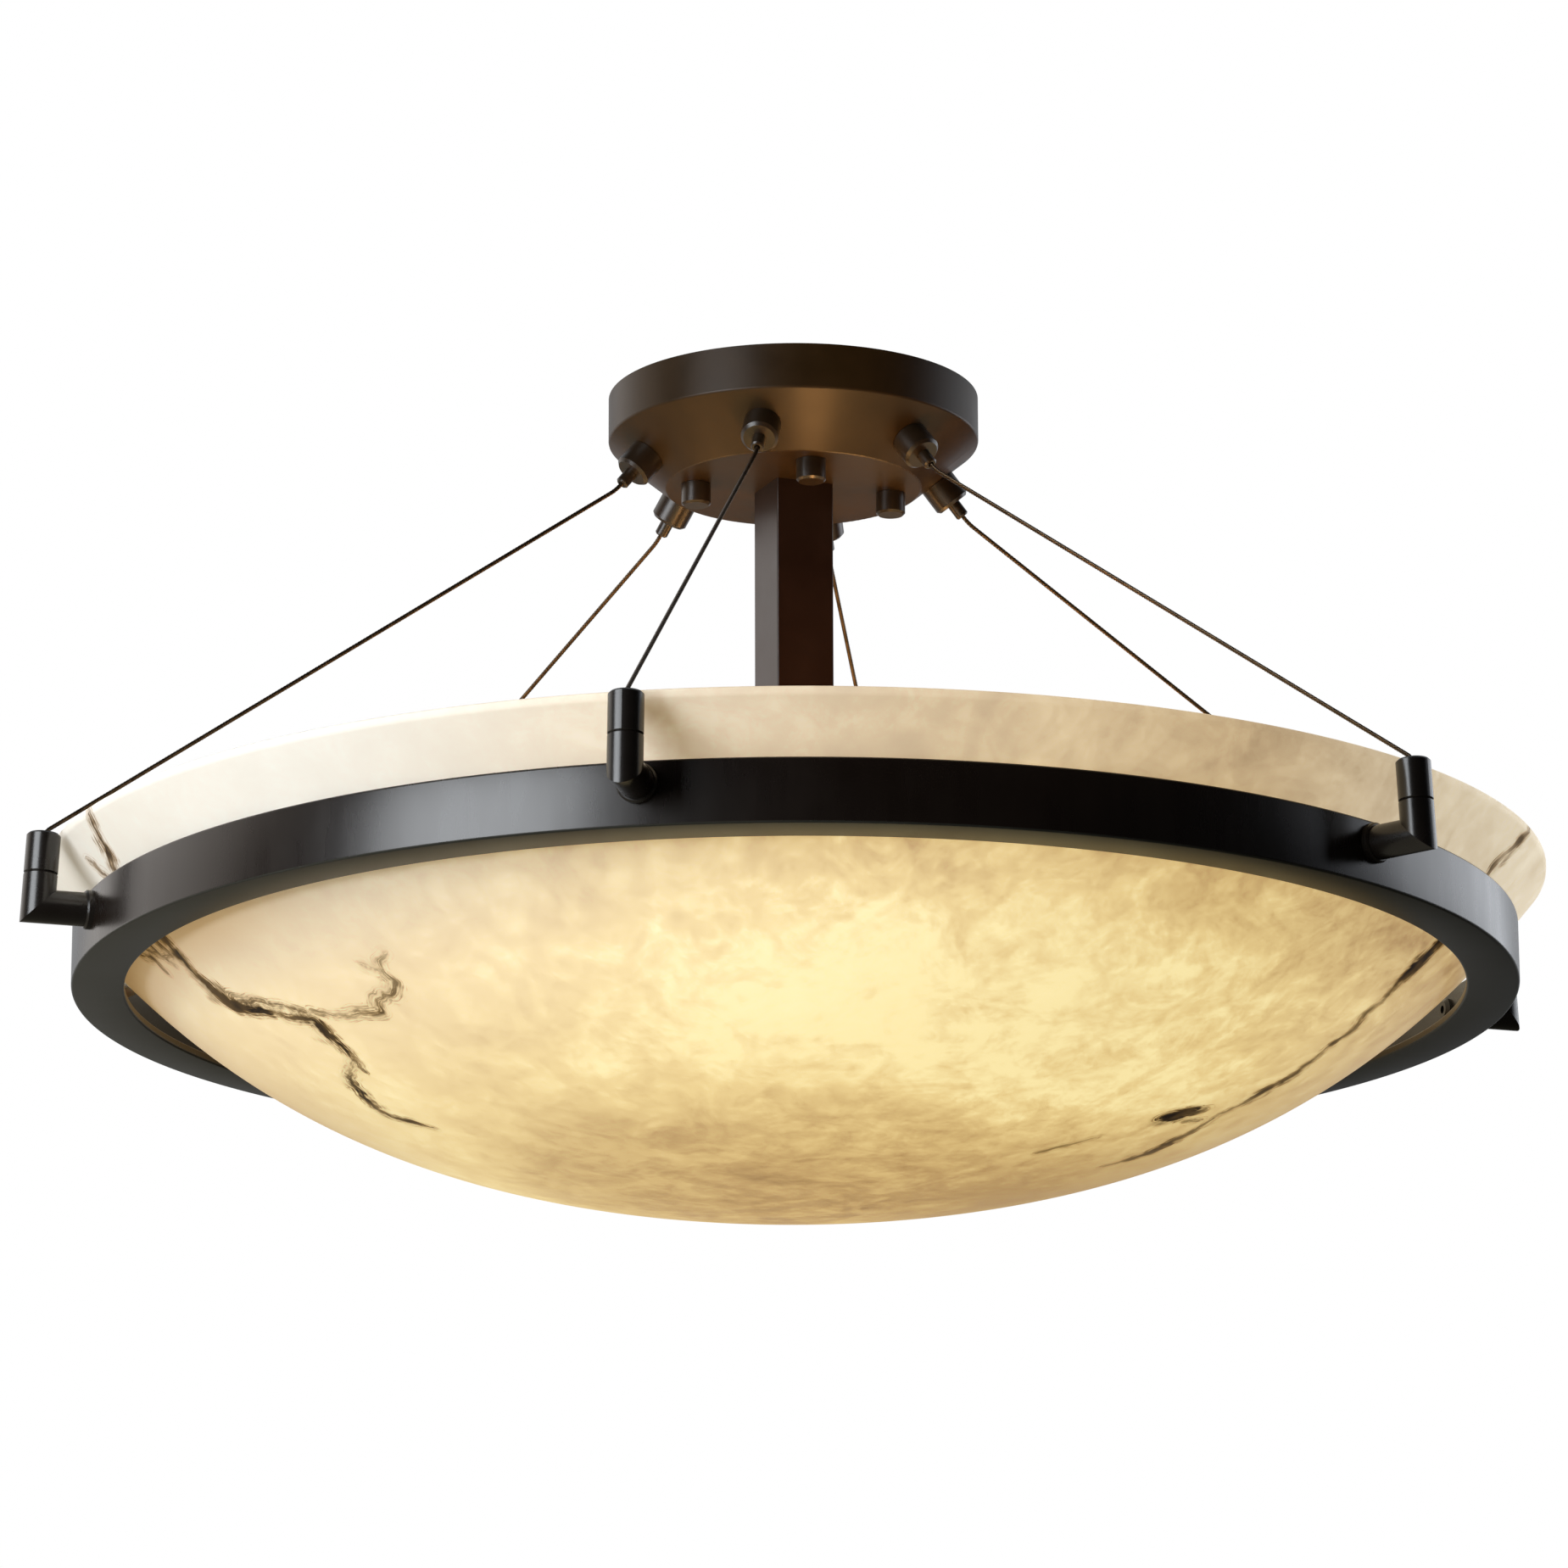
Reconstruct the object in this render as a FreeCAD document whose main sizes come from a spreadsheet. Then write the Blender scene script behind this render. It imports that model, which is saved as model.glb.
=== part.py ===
import FreeCAD, Part
import math
import os

from FreeCAD import Placement, Rotation, Vector

# Semi flush ceiling light: a stepped canopy on a ceiling plate, a square stem with a three lamp cluster,
# and a deep bowl carried in a flat ring that hangs from six wire cables.
# Frame: z = 0 is the ceiling plane, +Z points up, the stem's axis is x = y = 0. Millimetres.

doc = FreeCAD.newDocument("CeilingLight")

# ---------------------------------------------------------------- driving dimensions
DIMS = {
    # canopy: outer shell
    "canopy_radius": 76.0, "canopy_side": 18.4, "canopy_depth": 37.9, "canopy_disc": 52.4, "canopy_wall": 1.6,
    "cone_out": 0.63697, "cone_down": 0.77089,
    "canopy_crease": 1.2, "centre_hole": 5.2, "stud_hole": 2.3, "neck_hole": 4.3,
    # ceiling plate and studs
    "plate_radius": 54.0, "plate_thick": 2.0, "wire_hole": 11.0, "screw_spacing": 88.9, "screw_hole": 2.6,
    "stud_radius": 2.0, "stud_tip": 44.2, "stud_collar": 3.8, "stud_circle": 40.5, "stud_angle": -80.0,
    # canopy nuts
    "nut_radius": 6.0, "nut_length": 9.1, "nut_gap": 0.1, "nut_bore": 2.06,
    # cable grippers
    "grip_circle": 62.8, "grip_radius": 7.6, "grip_length": 11.0, "neck_radius": 4.0, "neck_length": 9.0,
    "plunger_radius": 2.7, "plunger_out": 6.5, "plunger_clear": 0.06, "cable_bore": 1.3,
    # cable
    "cable_radius": 0.9,
    # brackets
    "bracket_angle": -101.47, "arm_height": 237.2, "arm_corner": 311.1, "rod_radius": 6.7, "post_lean": 3.3,
    "seam_height": 224.3, "cap_height": 208.1, "collar_radius": 7.75, "collar_length": 3.2,
    # ring
    "ring_radius": 289.7, "ring_band": 3.0, "ring_top": 229.0, "ring_bottom": 252.8, "ring_inner": 269.5,
    "flange_thick": 2.5,
    # bowl: cubic outer profile from rim to bottom centre, and wall
    "rim_radius": 304.5, "rim_height": 204.5, "bowl_ax": 231.8, "bowl_az": 295.45, "bowl_bx": 141.3,
    "bowl_depth": 333.25, "bowl_wall": 6.0,
    # stem and lamp cluster
    "stem_side": 24.8, "stem_wall": 1.6, "stem_angle": 22.9, "stem_bottom": 163.0, "nipple_radius": 4.8,
    "nipple_bore": 3.4, "cluster_radius": 27.0, "cluster_wall": 2.0, "lamp_angle": -73.0, "lamp_tilt": 20.0,
    "lamp_root_r": 21.8, "lamp_root_z": 184.3, "holder_radius": 18.5, "shell_radius": 13.2, "base_radius": 13.12,
    "bulb_radius": 30.0, "wire_radius": 1.1,
}
sheet = doc.addObject("Spreadsheet::Sheet", "dims")
for row, (word, value) in enumerate(DIMS.items(), start=1):
    sheet.set("A%d" % row, word)
    sheet.set("B%d" % row, repr(value))
    sheet.setAlias("B%d" % row, word)
doc.recompute()


class Q:
    """A size: its number, and the same size written as an expression of the sheet's cells."""

    def __init__(self, v, e=None):
        self.v = float(v)
        self.e = e if e is not None else "(%r)" % float(v)

    def __add__(self, o):
        o = as_q(o)
        return Q(self.v + o.v, "(%s + %s)" % (self.e, o.e))

    def __sub__(self, o):
        o = as_q(o)
        return Q(self.v - o.v, "(%s - %s)" % (self.e, o.e))

    def __mul__(self, o):
        o = as_q(o)
        return Q(self.v * o.v, "(%s * %s)" % (self.e, o.e))

    def __truediv__(self, o):
        o = as_q(o)
        return Q(self.v / o.v, "(%s / %s)" % (self.e, o.e))

    def __neg__(self):
        return Q(-self.v, "(0 - %s)" % self.e)

    __radd__ = __add__
    __rmul__ = __mul__

    def __rsub__(self, o):
        return as_q(o) - self


def as_q(x):
    return x if isinstance(x, Q) else Q(x)


def D(word):
    return Q(float(sheet.get(word)), "dims." + word)


def val(word):
    return float(sheet.get(word))


Z = Vector(0, 0, 1)
ORIGIN = Vector(0, 0, 0)
parts = {}


def give(name, obj):
    obj.Label = name
    parts[name] = obj
    return obj


def plane_of(body, role):
    return [f for f in body.Origin.OriginFeatures if f.Role == role][0]


def outline(body, name, role, verts):
    """A closed polygon sketch; every corner is dimensioned from the origin by an expression."""
    sk = body.newObject("Sketcher::SketchObject", name)
    sk.AttachmentSupport = [(plane_of(body, role), "")]
    sk.MapMode = "FlatFace"
    import Sketcher
    pts = [(as_q(a), as_q(b)) for a, b in verts]
    n = len(pts)
    for i in range(n):
        (a, b), (c, d) = pts[i], pts[(i + 1) % n]
        sk.addGeometry(Part.LineSegment(Vector(a.v, b.v, 0), Vector(c.v, d.v, 0)), False)
    for i in range(n):
        sk.addConstraint(Sketcher.Constraint("Coincident", i, 2, (i + 1) % n, 1))
    for i, (a, b) in enumerate(pts):
        for kind, q, tag in (("DistanceX", a, "x"), ("DistanceY", b, "y")):
            if abs(q.v) < 1e-9:
                # on an axis of the sketch
                sk.addConstraint(Sketcher.Constraint("PointOnObject", i, 1, -2 if tag == "x" else -1))
                continue
            k = sk.addConstraint(Sketcher.Constraint(kind, -1, 1, i, 1, q.v))
            sk.renameConstraint(k, "%s%d" % (tag, i))
            sk.setExpression("Constraints.%s%d" % (tag, i), q.e)
    return sk


def circles(body, name, role, rows):
    """A sketch of full circles: (x, y, radius) each bound by expressions."""
    import Sketcher
    sk = body.newObject("Sketcher::SketchObject", name)
    sk.AttachmentSupport = [(plane_of(body, role), "")]
    sk.MapMode = "FlatFace"
    for i, (x, y, r) in enumerate(rows):
        x, y, r = as_q(x), as_q(y), as_q(r)
        sk.addGeometry(Part.Circle(Vector(x.v, y.v, 0), Z, r.v), False)
        k = sk.addConstraint(Sketcher.Constraint("Radius", i, r.v))
        sk.renameConstraint(k, "r%d" % i)
        sk.setExpression("Constraints.r%d" % i, r.e)
        for kind, q, tag in (("DistanceX", x, "x"), ("DistanceY", y, "y")):
            if abs(q.v) < 1e-9:
                sk.addConstraint(Sketcher.Constraint("PointOnObject", i, 3, -2 if tag == "x" else -1))
                continue
            k = sk.addConstraint(Sketcher.Constraint(kind, -1, 1, i, 3, q.v))
            sk.renameConstraint(k, "%s%d" % (tag, i))
            sk.setExpression("Constraints.%s%d" % (tag, i), q.e)
    return sk


def turned(name, verts):
    """A turned piece: its half section (radius, height) revolved about its own vertical axis."""
    body = doc.addObject("PartDesign::Body", name)
    sk = outline(body, name + "_section", "XZ_Plane", verts)
    rev = body.newObject("PartDesign::Revolution", name + "_turn")
    rev.Profile = sk
    rev.ReferenceAxis = (sk, ["V_Axis"])
    rev.Angle = 360.0
    sk.Visibility = False
    doc.recompute()
    return body


def circle_of(edge):
    """The edge's circle, or None for any other kind of edge."""
    try:
        c = edge.Curve
    except TypeError:
        return None
    return c if isinstance(c, Part.Circle) else None


def rounded(body, name, radius, picks):
    """Fillet the circular edges of a turned body that lie at the given (radius, height) pairs."""
    tip = body.Tip
    chosen = []
    for i, e in enumerate(tip.Shape.Edges, start=1):
        c = circle_of(e)
        if c is None:
            continue
        for r, z in picks:
            if abs(c.Radius - r) < 0.02 and abs(c.Center.z - z) < 0.02:
                chosen.append("Edge%d" % i)
    fil = body.newObject("PartDesign::Fillet", name)
    fil.Base = (tip, chosen)
    fil.Radius = as_q(radius).v
    fil.setExpression("Radius", as_q(radius).e)
    doc.recompute()
    return fil


def pocket(body, name, sk, length, both=False, reverse=False):
    p = body.newObject("PartDesign::Pocket", name)
    p.Profile = sk
    p.Length = as_q(length).v
    p.setExpression("Length", as_q(length).e)
    p.Midplane = both
    p.Reversed = reverse
    sk.Visibility = False
    before = body.Shape.Volume
    doc.recompute()
    if p.Shape.Volume > before - 0.5:
        raise RuntimeError("pocket %s cut nothing" % name)
    return p


def solid_of(shape):
    return shape.Solids[0] if len(shape.Solids) == 1 else shape


def put(shape, place):
    s = shape.copy()
    s.Placement = place.multiply(s.Placement)
    return s


def azimuth(angle):
    return Placement(ORIGIN, Rotation(Z, angle))


def feature(name, shape, place=None):
    f = doc.addObject("Part::Feature", name)
    f.Shape = shape
    if place is not None:
        f.Placement = place
    return give(name, f)


def group(name, shapes):
    return feature(name, Part.makeCompound(shapes))


def hexagon(across, low, high, bore):
    """A plain hexagon nut about Z."""
    rad = across / math.sqrt(3.0)
    pts = [Vector(rad * math.cos(math.radians(60 * i)), rad * math.sin(math.radians(60 * i)), low) for i in range(7)]
    body = Part.Face(Part.makePolygon(pts)).extrude(Vector(0, 0, high - low))
    cone = Part.makeCone(rad * 1.10, rad * 1.10 - (high - low) * 1.2, (high - low) * 1.2, Vector(0, 0, low))
    body = body.common(cone) if high - low < 2.2 * rad else body
    return body.cut(Part.makeCylinder(bore, high - low + 2, Vector(0, 0, low - 1)))


# ---------------------------------------------------------------- ceiling plate
# A flat round steel plate: central wire hole, two screw holes on the ceiling box spacing.
plate = doc.addObject("PartDesign::Body", "mounting_plate_body")
sk = circles(plate, "plate_outline", "XY_Plane", [(0, 0, D("plate_radius")), (0, 0, D("wire_hole"))])
pad = plate.newObject("PartDesign::Pad", "plate_pad")
pad.Profile = sk
pad.setExpression("Length", D("plate_thick").e)
pad.Reversed = True
sk.Visibility = False
doc.recompute()
sk = circles(plate, "plate_holes", "XY_Plane", [
    (D("screw_spacing") / 2, 0, D("screw_hole")), (-(D("screw_spacing") / 2), 0, D("screw_hole"))])
pocket(plate, "plate_screw_holes", sk, D("plate_thick") * 2.5, both=True)
give("mounting_plate", plate)

# Four studs that stand down from the plate; each has a round collar seated under the plate.
stud = turned("stud_master", [
    (0, -D("plate_thick")), (D("stud_collar"), -D("plate_thick")), (D("stud_collar"), -(D("plate_thick") + 1.4)),
    (D("stud_radius"), -(D("plate_thick") + 1.4)), (D("stud_radius"), -(D("stud_tip") - 0.6)),
    (D("stud_radius") - 0.6, -D("stud_tip")), (0, -D("stud_tip"))])
stud_places = [azimuth(val("stud_angle") + 90 * k).multiply(Placement(Vector(val("stud_circle"), 0, 0), Rotation()))
               for k in range(4)]
group("mounting_studs", [put(stud.Shape, p) for p in stud_places])

# Green-type earth screw: cheese head with a slot, in the plate.
head = Part.makeCylinder(3.6, 2.4, Vector(0, 0, -4.4)).cut(Part.makeBox(9, 0.9, 1.2, Vector(-4.5, -0.45, -4.5)))
head = head.fuse(Part.makeCylinder(1.9, 1.9, Vector(0, 0, -2.05))).removeSplitter()
earth_at = Vector(-16, -30, 0)
plate_solid = plate.Shape.copy()
earth_hole = Part.makeCylinder(1.9, 4, Vector(-16, -30, -3))
earth_cut = doc.addObject("Part::Cylinder", "earth_hole_tool")
earth_cut.Radius = 1.9
earth_cut.Height = 4
earth_cut.Placement = Placement(Vector(-16, -30, -3), Rotation())
plate_cut = doc.addObject("Part::Cut", "mounting_plate_drilled")
plate.Label = "mounting_plate_blank"
plate_cut.Base = plate
plate_cut.Tool = earth_cut
doc.recompute()
give("mounting_plate", plate_cut)
feature("earth_screw", head, Placement(earth_at, Rotation()))

# ---------------------------------------------------------------- canopy shell
w = D("canopy_wall")
co, cd = D("cone_out"), D("cone_down")
# a point on the inner cone line, and the line's slope dz/dr
pr = D("canopy_radius") - w * co
pz = -D("canopy_side") + w * cd
slope = co / cd
inner_r = D("canopy_radius") - w
inner_z = pz - (pr - inner_r) * slope
disc_z = -(D("canopy_depth") - w)
disc_r = pr - (pz - disc_z) / slope
canopy = turned("canopy_shell", [
    (D("centre_hole"), -D("canopy_depth")), (D("canopy_disc"), -D("canopy_depth")),
    (D("canopy_radius"), -D("canopy_side")), (D("canopy_radius"), 0), (inner_r, 0), (inner_r, inner_z),
    (disc_r, disc_z), (D("centre_hole"), disc_z)])
rounded(canopy, "canopy_creases", D("canopy_crease"), [
    (val("canopy_radius"), -val("canopy_side")), (val("canopy_disc"), -val("canopy_depth"))])
stud_tools = [Part.makeCylinder(val("stud_hole"), 6, Vector(0, 0, -val("canopy_depth") - 3))]
tools = [put(stud_tools[0], p) for p in stud_places]

# cable gripper seats: local +Z leaves the cone along its outward normal
n_out, n_down = val("cone_out"), val("cone_down")
base_r = val("grip_circle")
base_z = -val("canopy_side") - (val("canopy_radius") - base_r) * n_out / n_down
normal = Vector(n_out, 0, -n_down)
seat = Placement(Vector(base_r, 0, base_z), Rotation(Z, normal))
brackets = [val("bracket_angle") + 60 * k for k in range(6)]
seats = [azimuth(a).multiply(seat) for a in brackets]
tools += [put(Part.makeCylinder(val("neck_hole"), 10, Vector(0, 0, -5)), p) for p in seats]
tool = doc.addObject("Part::Feature", "canopy_hole_tools")
tool.Shape = Part.makeCompound(tools)
cut = doc.addObject("Part::Cut", "canopy_drilled")
cut.Base = canopy
cut.Tool = tool
doc.recompute()
give("canopy", cut)

# ---------------------------------------------------------------- canopy nuts
nut_top = -(D("canopy_depth") + D("nut_gap"))
nut_low = nut_top - D("nut_length")
nut = turned("canopy_nut_master", [
    (D("nut_bore"), nut_top), (D("nut_radius"), nut_top), (D("nut_radius"), nut_low + 0.9),
    (D("nut_radius") - 0.9, nut_low), (0, nut_low), (0, nut_low + 2.2), (D("nut_bore"), nut_low + 2.2)])
for k, p in enumerate(stud_places, start=1):
    feature("canopy_nut_%d" % k, nut.Shape.copy(), p)

# ---------------------------------------------------------------- cable grippers, plungers, lock nuts
gr, gl = D("grip_radius"), D("grip_length")
mouth = D("plunger_radius") + D("plunger_clear")
gripper = turned("gripper_master", [
    (D("neck_radius"), 0), (gr, 0), (gr, gl - 1.2), (gr - 1.2, gl), (mouth, gl), (mouth, gl - 2), (3.6, gl - 2),
    (3.6, 3), (D("cable_bore"), 3), (D("cable_bore"), -D("neck_length")), (D("neck_radius"), -D("neck_length"))])
group("cable_grippers", [put(gripper.Shape, p) for p in seats])
plunger = turned("plunger_master", [
    (1.25, gl - 3.7), (3.4, gl - 3.7), (3.4, gl - 2.1), (D("plunger_radius"), gl - 2.1),
    (D("plunger_radius"), gl + D("plunger_out") - 0.6), (D("plunger_radius") - 0.6, gl + D("plunger_out")),
    (1.25, gl + D("plunger_out"))])
for k, p in enumerate(seats, start=1):
    feature("gripper_plunger_%d" % k, plunger.Shape.copy(), p)
lock = hexagon(12.0, -5.4, -1.9, 4.1)
group("gripper_lock_nuts", [put(lock, p) for p in seats])

# ---------------------------------------------------------------- ring: a band with a flat inner flange
rr = D("ring_radius")
ring = turned("ring_section", [
    (rr - D("ring_band"), -D("ring_top")), (rr, -D("ring_top")), (rr, -D("ring_bottom")),
    (D("ring_inner"), -D("ring_bottom")), (D("ring_inner"), -(D("ring_bottom") - D("flange_thick"))),
    (rr - D("ring_band"), -(D("ring_bottom") - D("flange_thick")))])
rounded(ring, "ring_edges", 0.7, [(val("ring_radius"), -val("ring_top")), (val("ring_radius"), -val("ring_bottom"))])
arm_z = -val("arm_height")
along_arm = Rotation(Z, Vector(1, 0, 0))


def on_arm(r):
    """Local +Z points outward along a bracket's arm, starting at radius r."""
    return Placement(Vector(r, 0, arm_z), along_arm)


tool = doc.addObject("Part::Feature", "ring_hole_tools")
tool.Shape = Part.makeCompound([
    put(Part.makeCylinder(2.7, 10, Vector(0, 0, 0)), azimuth(a).multiply(on_arm(val("ring_radius") - 6))) for a in brackets])
cut = doc.addObject("Part::Cut", "ring_drilled")
cut.Base = ring
cut.Tool = tool
doc.recompute()
give("ring", cut)

# ---------------------------------------------------------------- brackets
rod = val("rod_radius")
lean = math.radians(val("post_lean"))
corner = Vector(val("arm_corner"), 0, arm_z)
up = Vector(-math.sin(lean), 0, math.cos(lean))
seam_up = (val("arm_height") - val("seam_height")) / math.cos(lean)
cap_len = (val("seam_height") - val("cap_height")) / math.cos(lean)
arm_start = val("ring_radius") + val("collar_length")
post = Placement(corner + up * seam_up, Rotation(Z, up))      # local z = 0 at the seam between elbow and cap
mitre = (Vector(1, 0, 0) + up).normalize()
far = Part.makeBox(240, 240, 120, Vector(-120, -120, 0))
far.Placement = Placement(corner, Rotation(Z, mitre))
near = Part.makeBox(240, 240, 120, Vector(-120, -120, -120))
near.Placement = Placement(corner, Rotation(Z, mitre))
arm = put(Part.makeCylinder(rod, 60), on_arm(arm_start)).cut(far)
leg_top = Part.makeCone(rod, rod - 0.5, 0.5, Vector(0, 0, -0.5))
leg = Part.makeCylinder(rod, 59.5 + seam_up, Vector(0, 0, -60 - seam_up)).fuse(leg_top)
leg = put(leg, post).cut(near)
spigot = put(Part.makeCylinder(4.0, 7.0, Vector(0, 0, -1)), post)
elbow = arm.fuse([leg, spigot]).removeSplitter()
elbow = elbow.cut(put(Part.makeCylinder(2.5, 13, Vector(0, 0, 0)), on_arm(arm_start - 1)))
elbow = solid_of(elbow)
if len(elbow.Solids) != 1:
    raise RuntimeError("the elbow is not one solid")
for k, a in enumerate(brackets, start=1):
    feature("bracket_elbow_%d" % k, elbow.copy(), azimuth(a))

cap = turned("cap_master", [
    (4.1, 0), (rod - 0.5, 0), (rod, 0.5), (rod, cap_len - 0.8), (rod - 0.8, cap_len), (1.3, cap_len), (1.3, 10.5),
    (3.0, 10.5), (3.0, 6.5), (4.1, 6.5)])
slot = Part.makeBox(9, 2.6, 8, Vector(-9, -1.3, 11.0))
cap_shape = put(cap.Shape.cut(slot), post)
group("bracket_caps", [put(cap_shape, azimuth(a)) for a in brackets])

cr, cl = D("collar_radius"), D("collar_length")
collar = turned("collar_master", [
    (2.7, 0), (cr, 0), (cr, cl - 0.7), (cr - 0.7, cl), (2.7, cl)])
group("bracket_collars", [put(collar.Shape, azimuth(a).multiply(on_arm(val("ring_radius")))) for a in brackets])

inside = val("ring_radius") - val("ring_band") - 0.05
screw = Part.makeCylinder(4.75, 1.4, Vector(0, 0, -1.4)).fuse(Part.makeCone(3.4, 4.75, 1.4, Vector(0, 0, -2.8)))
screw = screw.fuse(Part.makeCylinder(2.4, 17.0, Vector(0, 0, -0.2))).removeSplitter()
key = Part.makeCylinder(1.7, 1.6, Vector(0, 0, -3.0))
screw = screw.cut(key)
group("bracket_screws", [put(screw, azimuth(a).multiply(on_arm(inside))) for a in brackets])

# ---------------------------------------------------------------- cables and their end balls
ball = Part.makeCylinder(2.8, 3.6, Vector(0, 0, 6.9)).cut(Part.makeCylinder(val("cable_radius"), 6, Vector(0, 0, 6)))
group("cable_ball_ends", [put(put(ball, post), azimuth(a)) for a in brackets])

tip = val("grip_length") + val("plunger_out")
base = Vector(base_r, 0, base_z)
start = base - normal * 20.0                  # spare end inside the canopy
turn_one = base + normal * (tip + 3.5)        # leaves the plunger, then bends towards the rim
end = post.multVec(Vector(0, 0, 6.9))
# the long straight run meets the post's axis a little over the cap
turn_two = post.multVec(Vector(0, 0, cap_len + 0.75))


def swept(points, radii, radius):
    """A round wire along straight runs joined by tangent arcs."""
    edges, length = [], 0.0
    here = points[0]
    for i in range(1, len(points) - 1):
        a = (points[i] - points[i - 1]).normalize()
        b = (points[i + 1] - points[i]).normalize()
        turn = a.getAngle(b)
        back = radii[i - 1] * math.tan(turn / 2)
        p, q = points[i] - a * back, points[i] + b * back
        mid_dir = (b - a).normalize()
        centre = points[i] + mid_dir * (radii[i - 1] / math.cos(turn / 2))
        mid = centre - mid_dir * radii[i - 1]
        edges.append(Part.LineSegment(here, p).toShape())
        edges.append(Part.Arc(p, mid, q).toShape())
        length += here.distanceToPoint(p) + radii[i - 1] * turn
        here = q
    edges.append(Part.LineSegment(here, points[-1]).toShape())
    length += here.distanceToPoint(points[-1])
    wire = Part.Wire(edges)
    ring_edge = Part.makeCircle(radius, points[0], points[1] - points[0])
    tube = wire.makePipeShell([Part.Wire([ring_edge])], True, True)
    want = math.pi * radius * radius * length
    print("wire of radius %.2f: length %.1f, bend radii %s, volume ratio %.4f" % (
        radius, length, radii, tube.Volume / want))
    if abs(tube.Volume / want - 1) > 0.01:
        raise RuntimeError("a swept wire has the wrong volume")
    return tube


cable = swept([start, turn_one, turn_two, end], [16.0, 6.0], val("cable_radius"))
for k, a in enumerate(brackets, start=1):
    feature("cable_%d" % k, cable.copy(), azimuth(a))

# ---------------------------------------------------------------- bowl
p0 = Vector(val("rim_radius"), 0, -val("rim_height"))
p1 = Vector(val("bowl_ax"), 0, -val("bowl_az"))
p2 = Vector(val("bowl_bx"), 0, -val("bowl_depth"))
p3 = Vector(0, 0, -val("bowl_depth"))
wall = val("bowl_wall")


def bez(t):
    s = 1 - t
    return p0 * (s * s * s) + p1 * (3 * s * s * t) + p2 * (3 * s * t * t) + p3 * (t * t * t)


def bez_dir(t):
    s = 1 - t
    return ((p1 - p0) * (3 * s * s) + (p2 - p1) * (6 * s * t) + (p3 - p2) * (3 * t * t)).normalize()


outer = Part.BezierCurve()
outer.setPoles([p0, p1, p2, p3])
inner_pts = []
for i in range(-1, 25):
    t = i / 24.0
    d = bez_dir(t)
    n = Vector(-d.z, 0, d.x)          # points away from the bowl's inside
    n = n if n.x > 0 or n.z < 0 else n * -1
    inner_pts.append(bez(t) - n * wall)
# cut the inner curve at the rim plane
for i in range(len(inner_pts) - 1):
    if inner_pts[i].z > p0.z >= inner_pts[i + 1].z:
        f = (inner_pts[i].z - p0.z) / (inner_pts[i].z - inner_pts[i + 1].z)
        lip = inner_pts[i] + (inner_pts[i + 1] - inner_pts[i]) * f
        inner_pts = [lip] + [q for q in inner_pts[i + 1:] if q.distanceToPoint(lip) > 6.0]
        break
inner_pts[-1] = Vector(0, 0, p3.z + wall)
inner = Part.BSplineCurve()
inner.interpolate(Points=inner_pts, InitialTangent=(inner_pts[1] - inner_pts[0]), FinalTangent=Vector(-1, 0, 0))
edges = [outer.toShape(), Part.LineSegment(p3, inner_pts[-1]).toShape(), inner.toShape(),
         Part.LineSegment(inner_pts[0], p0).toShape()]
section = Part.Face(Part.Wire(Part.__sortEdges__(edges)))
bowl = section.revolve(ORIGIN, Z, 360)
rim_edges = [e for e in bowl.Edges if circle_of(e) is not None and abs(circle_of(e).Center.z - p0.z) < 0.01]
bowl = bowl.makeFillet(1.6, rim_edges)
bowl = solid_of(bowl)
print("bowl volume %.0f mm3, inner lip radius %.2f" % (bowl.Volume, inner_pts[0].x))
feature("bowl", bowl)

# six small silicone pads between the band and the bowl
ri = val("ring_radius") - val("ring_band")


def bowl_r(z):
    lo, hi = 0.0, 1.0
    for _ in range(60):
        mid = (lo + hi) / 2
        if bez(mid).z > z:
            lo = mid
        else:
            hi = mid
    return bez(lo).x


z1, z2, z3 = -229.6, -235.2, -238.4
gap = 0.5
pad_pts = [Vector(ri, 0, z1), Vector(bowl_r(z1) + gap, 0, z1), Vector(bowl_r(z2) + gap, 0, z2), Vector(ri, 0, z3)]
pad_face = Part.Face(Part.makePolygon(pad_pts + [pad_pts[0]]))
pad_solid = pad_face.revolve(ORIGIN, Z, 3.0)
group("bowl_pads", [put(pad_solid, azimuth(a + 30 - 1.5)) for a in brackets])

# ---------------------------------------------------------------- stem
side, sw = D("stem_side"), D("stem_wall")
h = side / 2
body = doc.addObject("PartDesign::Body", "stem_body")
sk = outline(body, "stem_outer", "XY_Plane", [(-h, -h), (h, -h), (h, h), (-h, h)])
padf = body.newObject("PartDesign::Pad", "stem_pad")
padf.Profile = sk
padf.setExpression("Length", (D("stem_bottom") - D("canopy_depth")).e)
padf.Reversed = True
sk.Visibility = False
doc.recompute()
edges4 = ["Edge%d" % i for i, e in enumerate(padf.Shape.Edges, start=1)
          if abs(e.Vertexes[0].Point.x - e.Vertexes[-1].Point.x) < 1e-6 and abs(e.Vertexes[0].Point.y - e.Vertexes[-1].Point.y) < 1e-6]
fil = body.newObject("PartDesign::Fillet", "stem_edges")
fil.Base = (padf, edges4)
fil.Radius = 0.8
doc.recompute()
hi_ = h - sw
sk = outline(body, "stem_inner", "XY_Plane", [(-hi_, -hi_), (hi_, -hi_), (hi_, hi_), (-hi_, hi_)])
pocket(body, "stem_hollow", sk, D("stem_bottom") * 2, both=True)
body.Placement = Placement(Vector(0, 0, -val("canopy_depth")), Rotation(Z, val("stem_angle")))
give("stem", body)

# square plugs pressed in at both ends of the stem, each tapped for a hollow threaded nipple
half = val("stem_side") / 2 - val("stem_wall") - 0.05


def plug(top):
    box = Part.makeBox(2 * half, 2 * half, 8, Vector(-half, -half, top - 8))
    box = box.cut(Part.makeCylinder(val("nipple_radius") + 0.03, 12, Vector(0, 0, top - 10)))
    return put(box, azimuth(val("stem_angle")))


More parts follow.
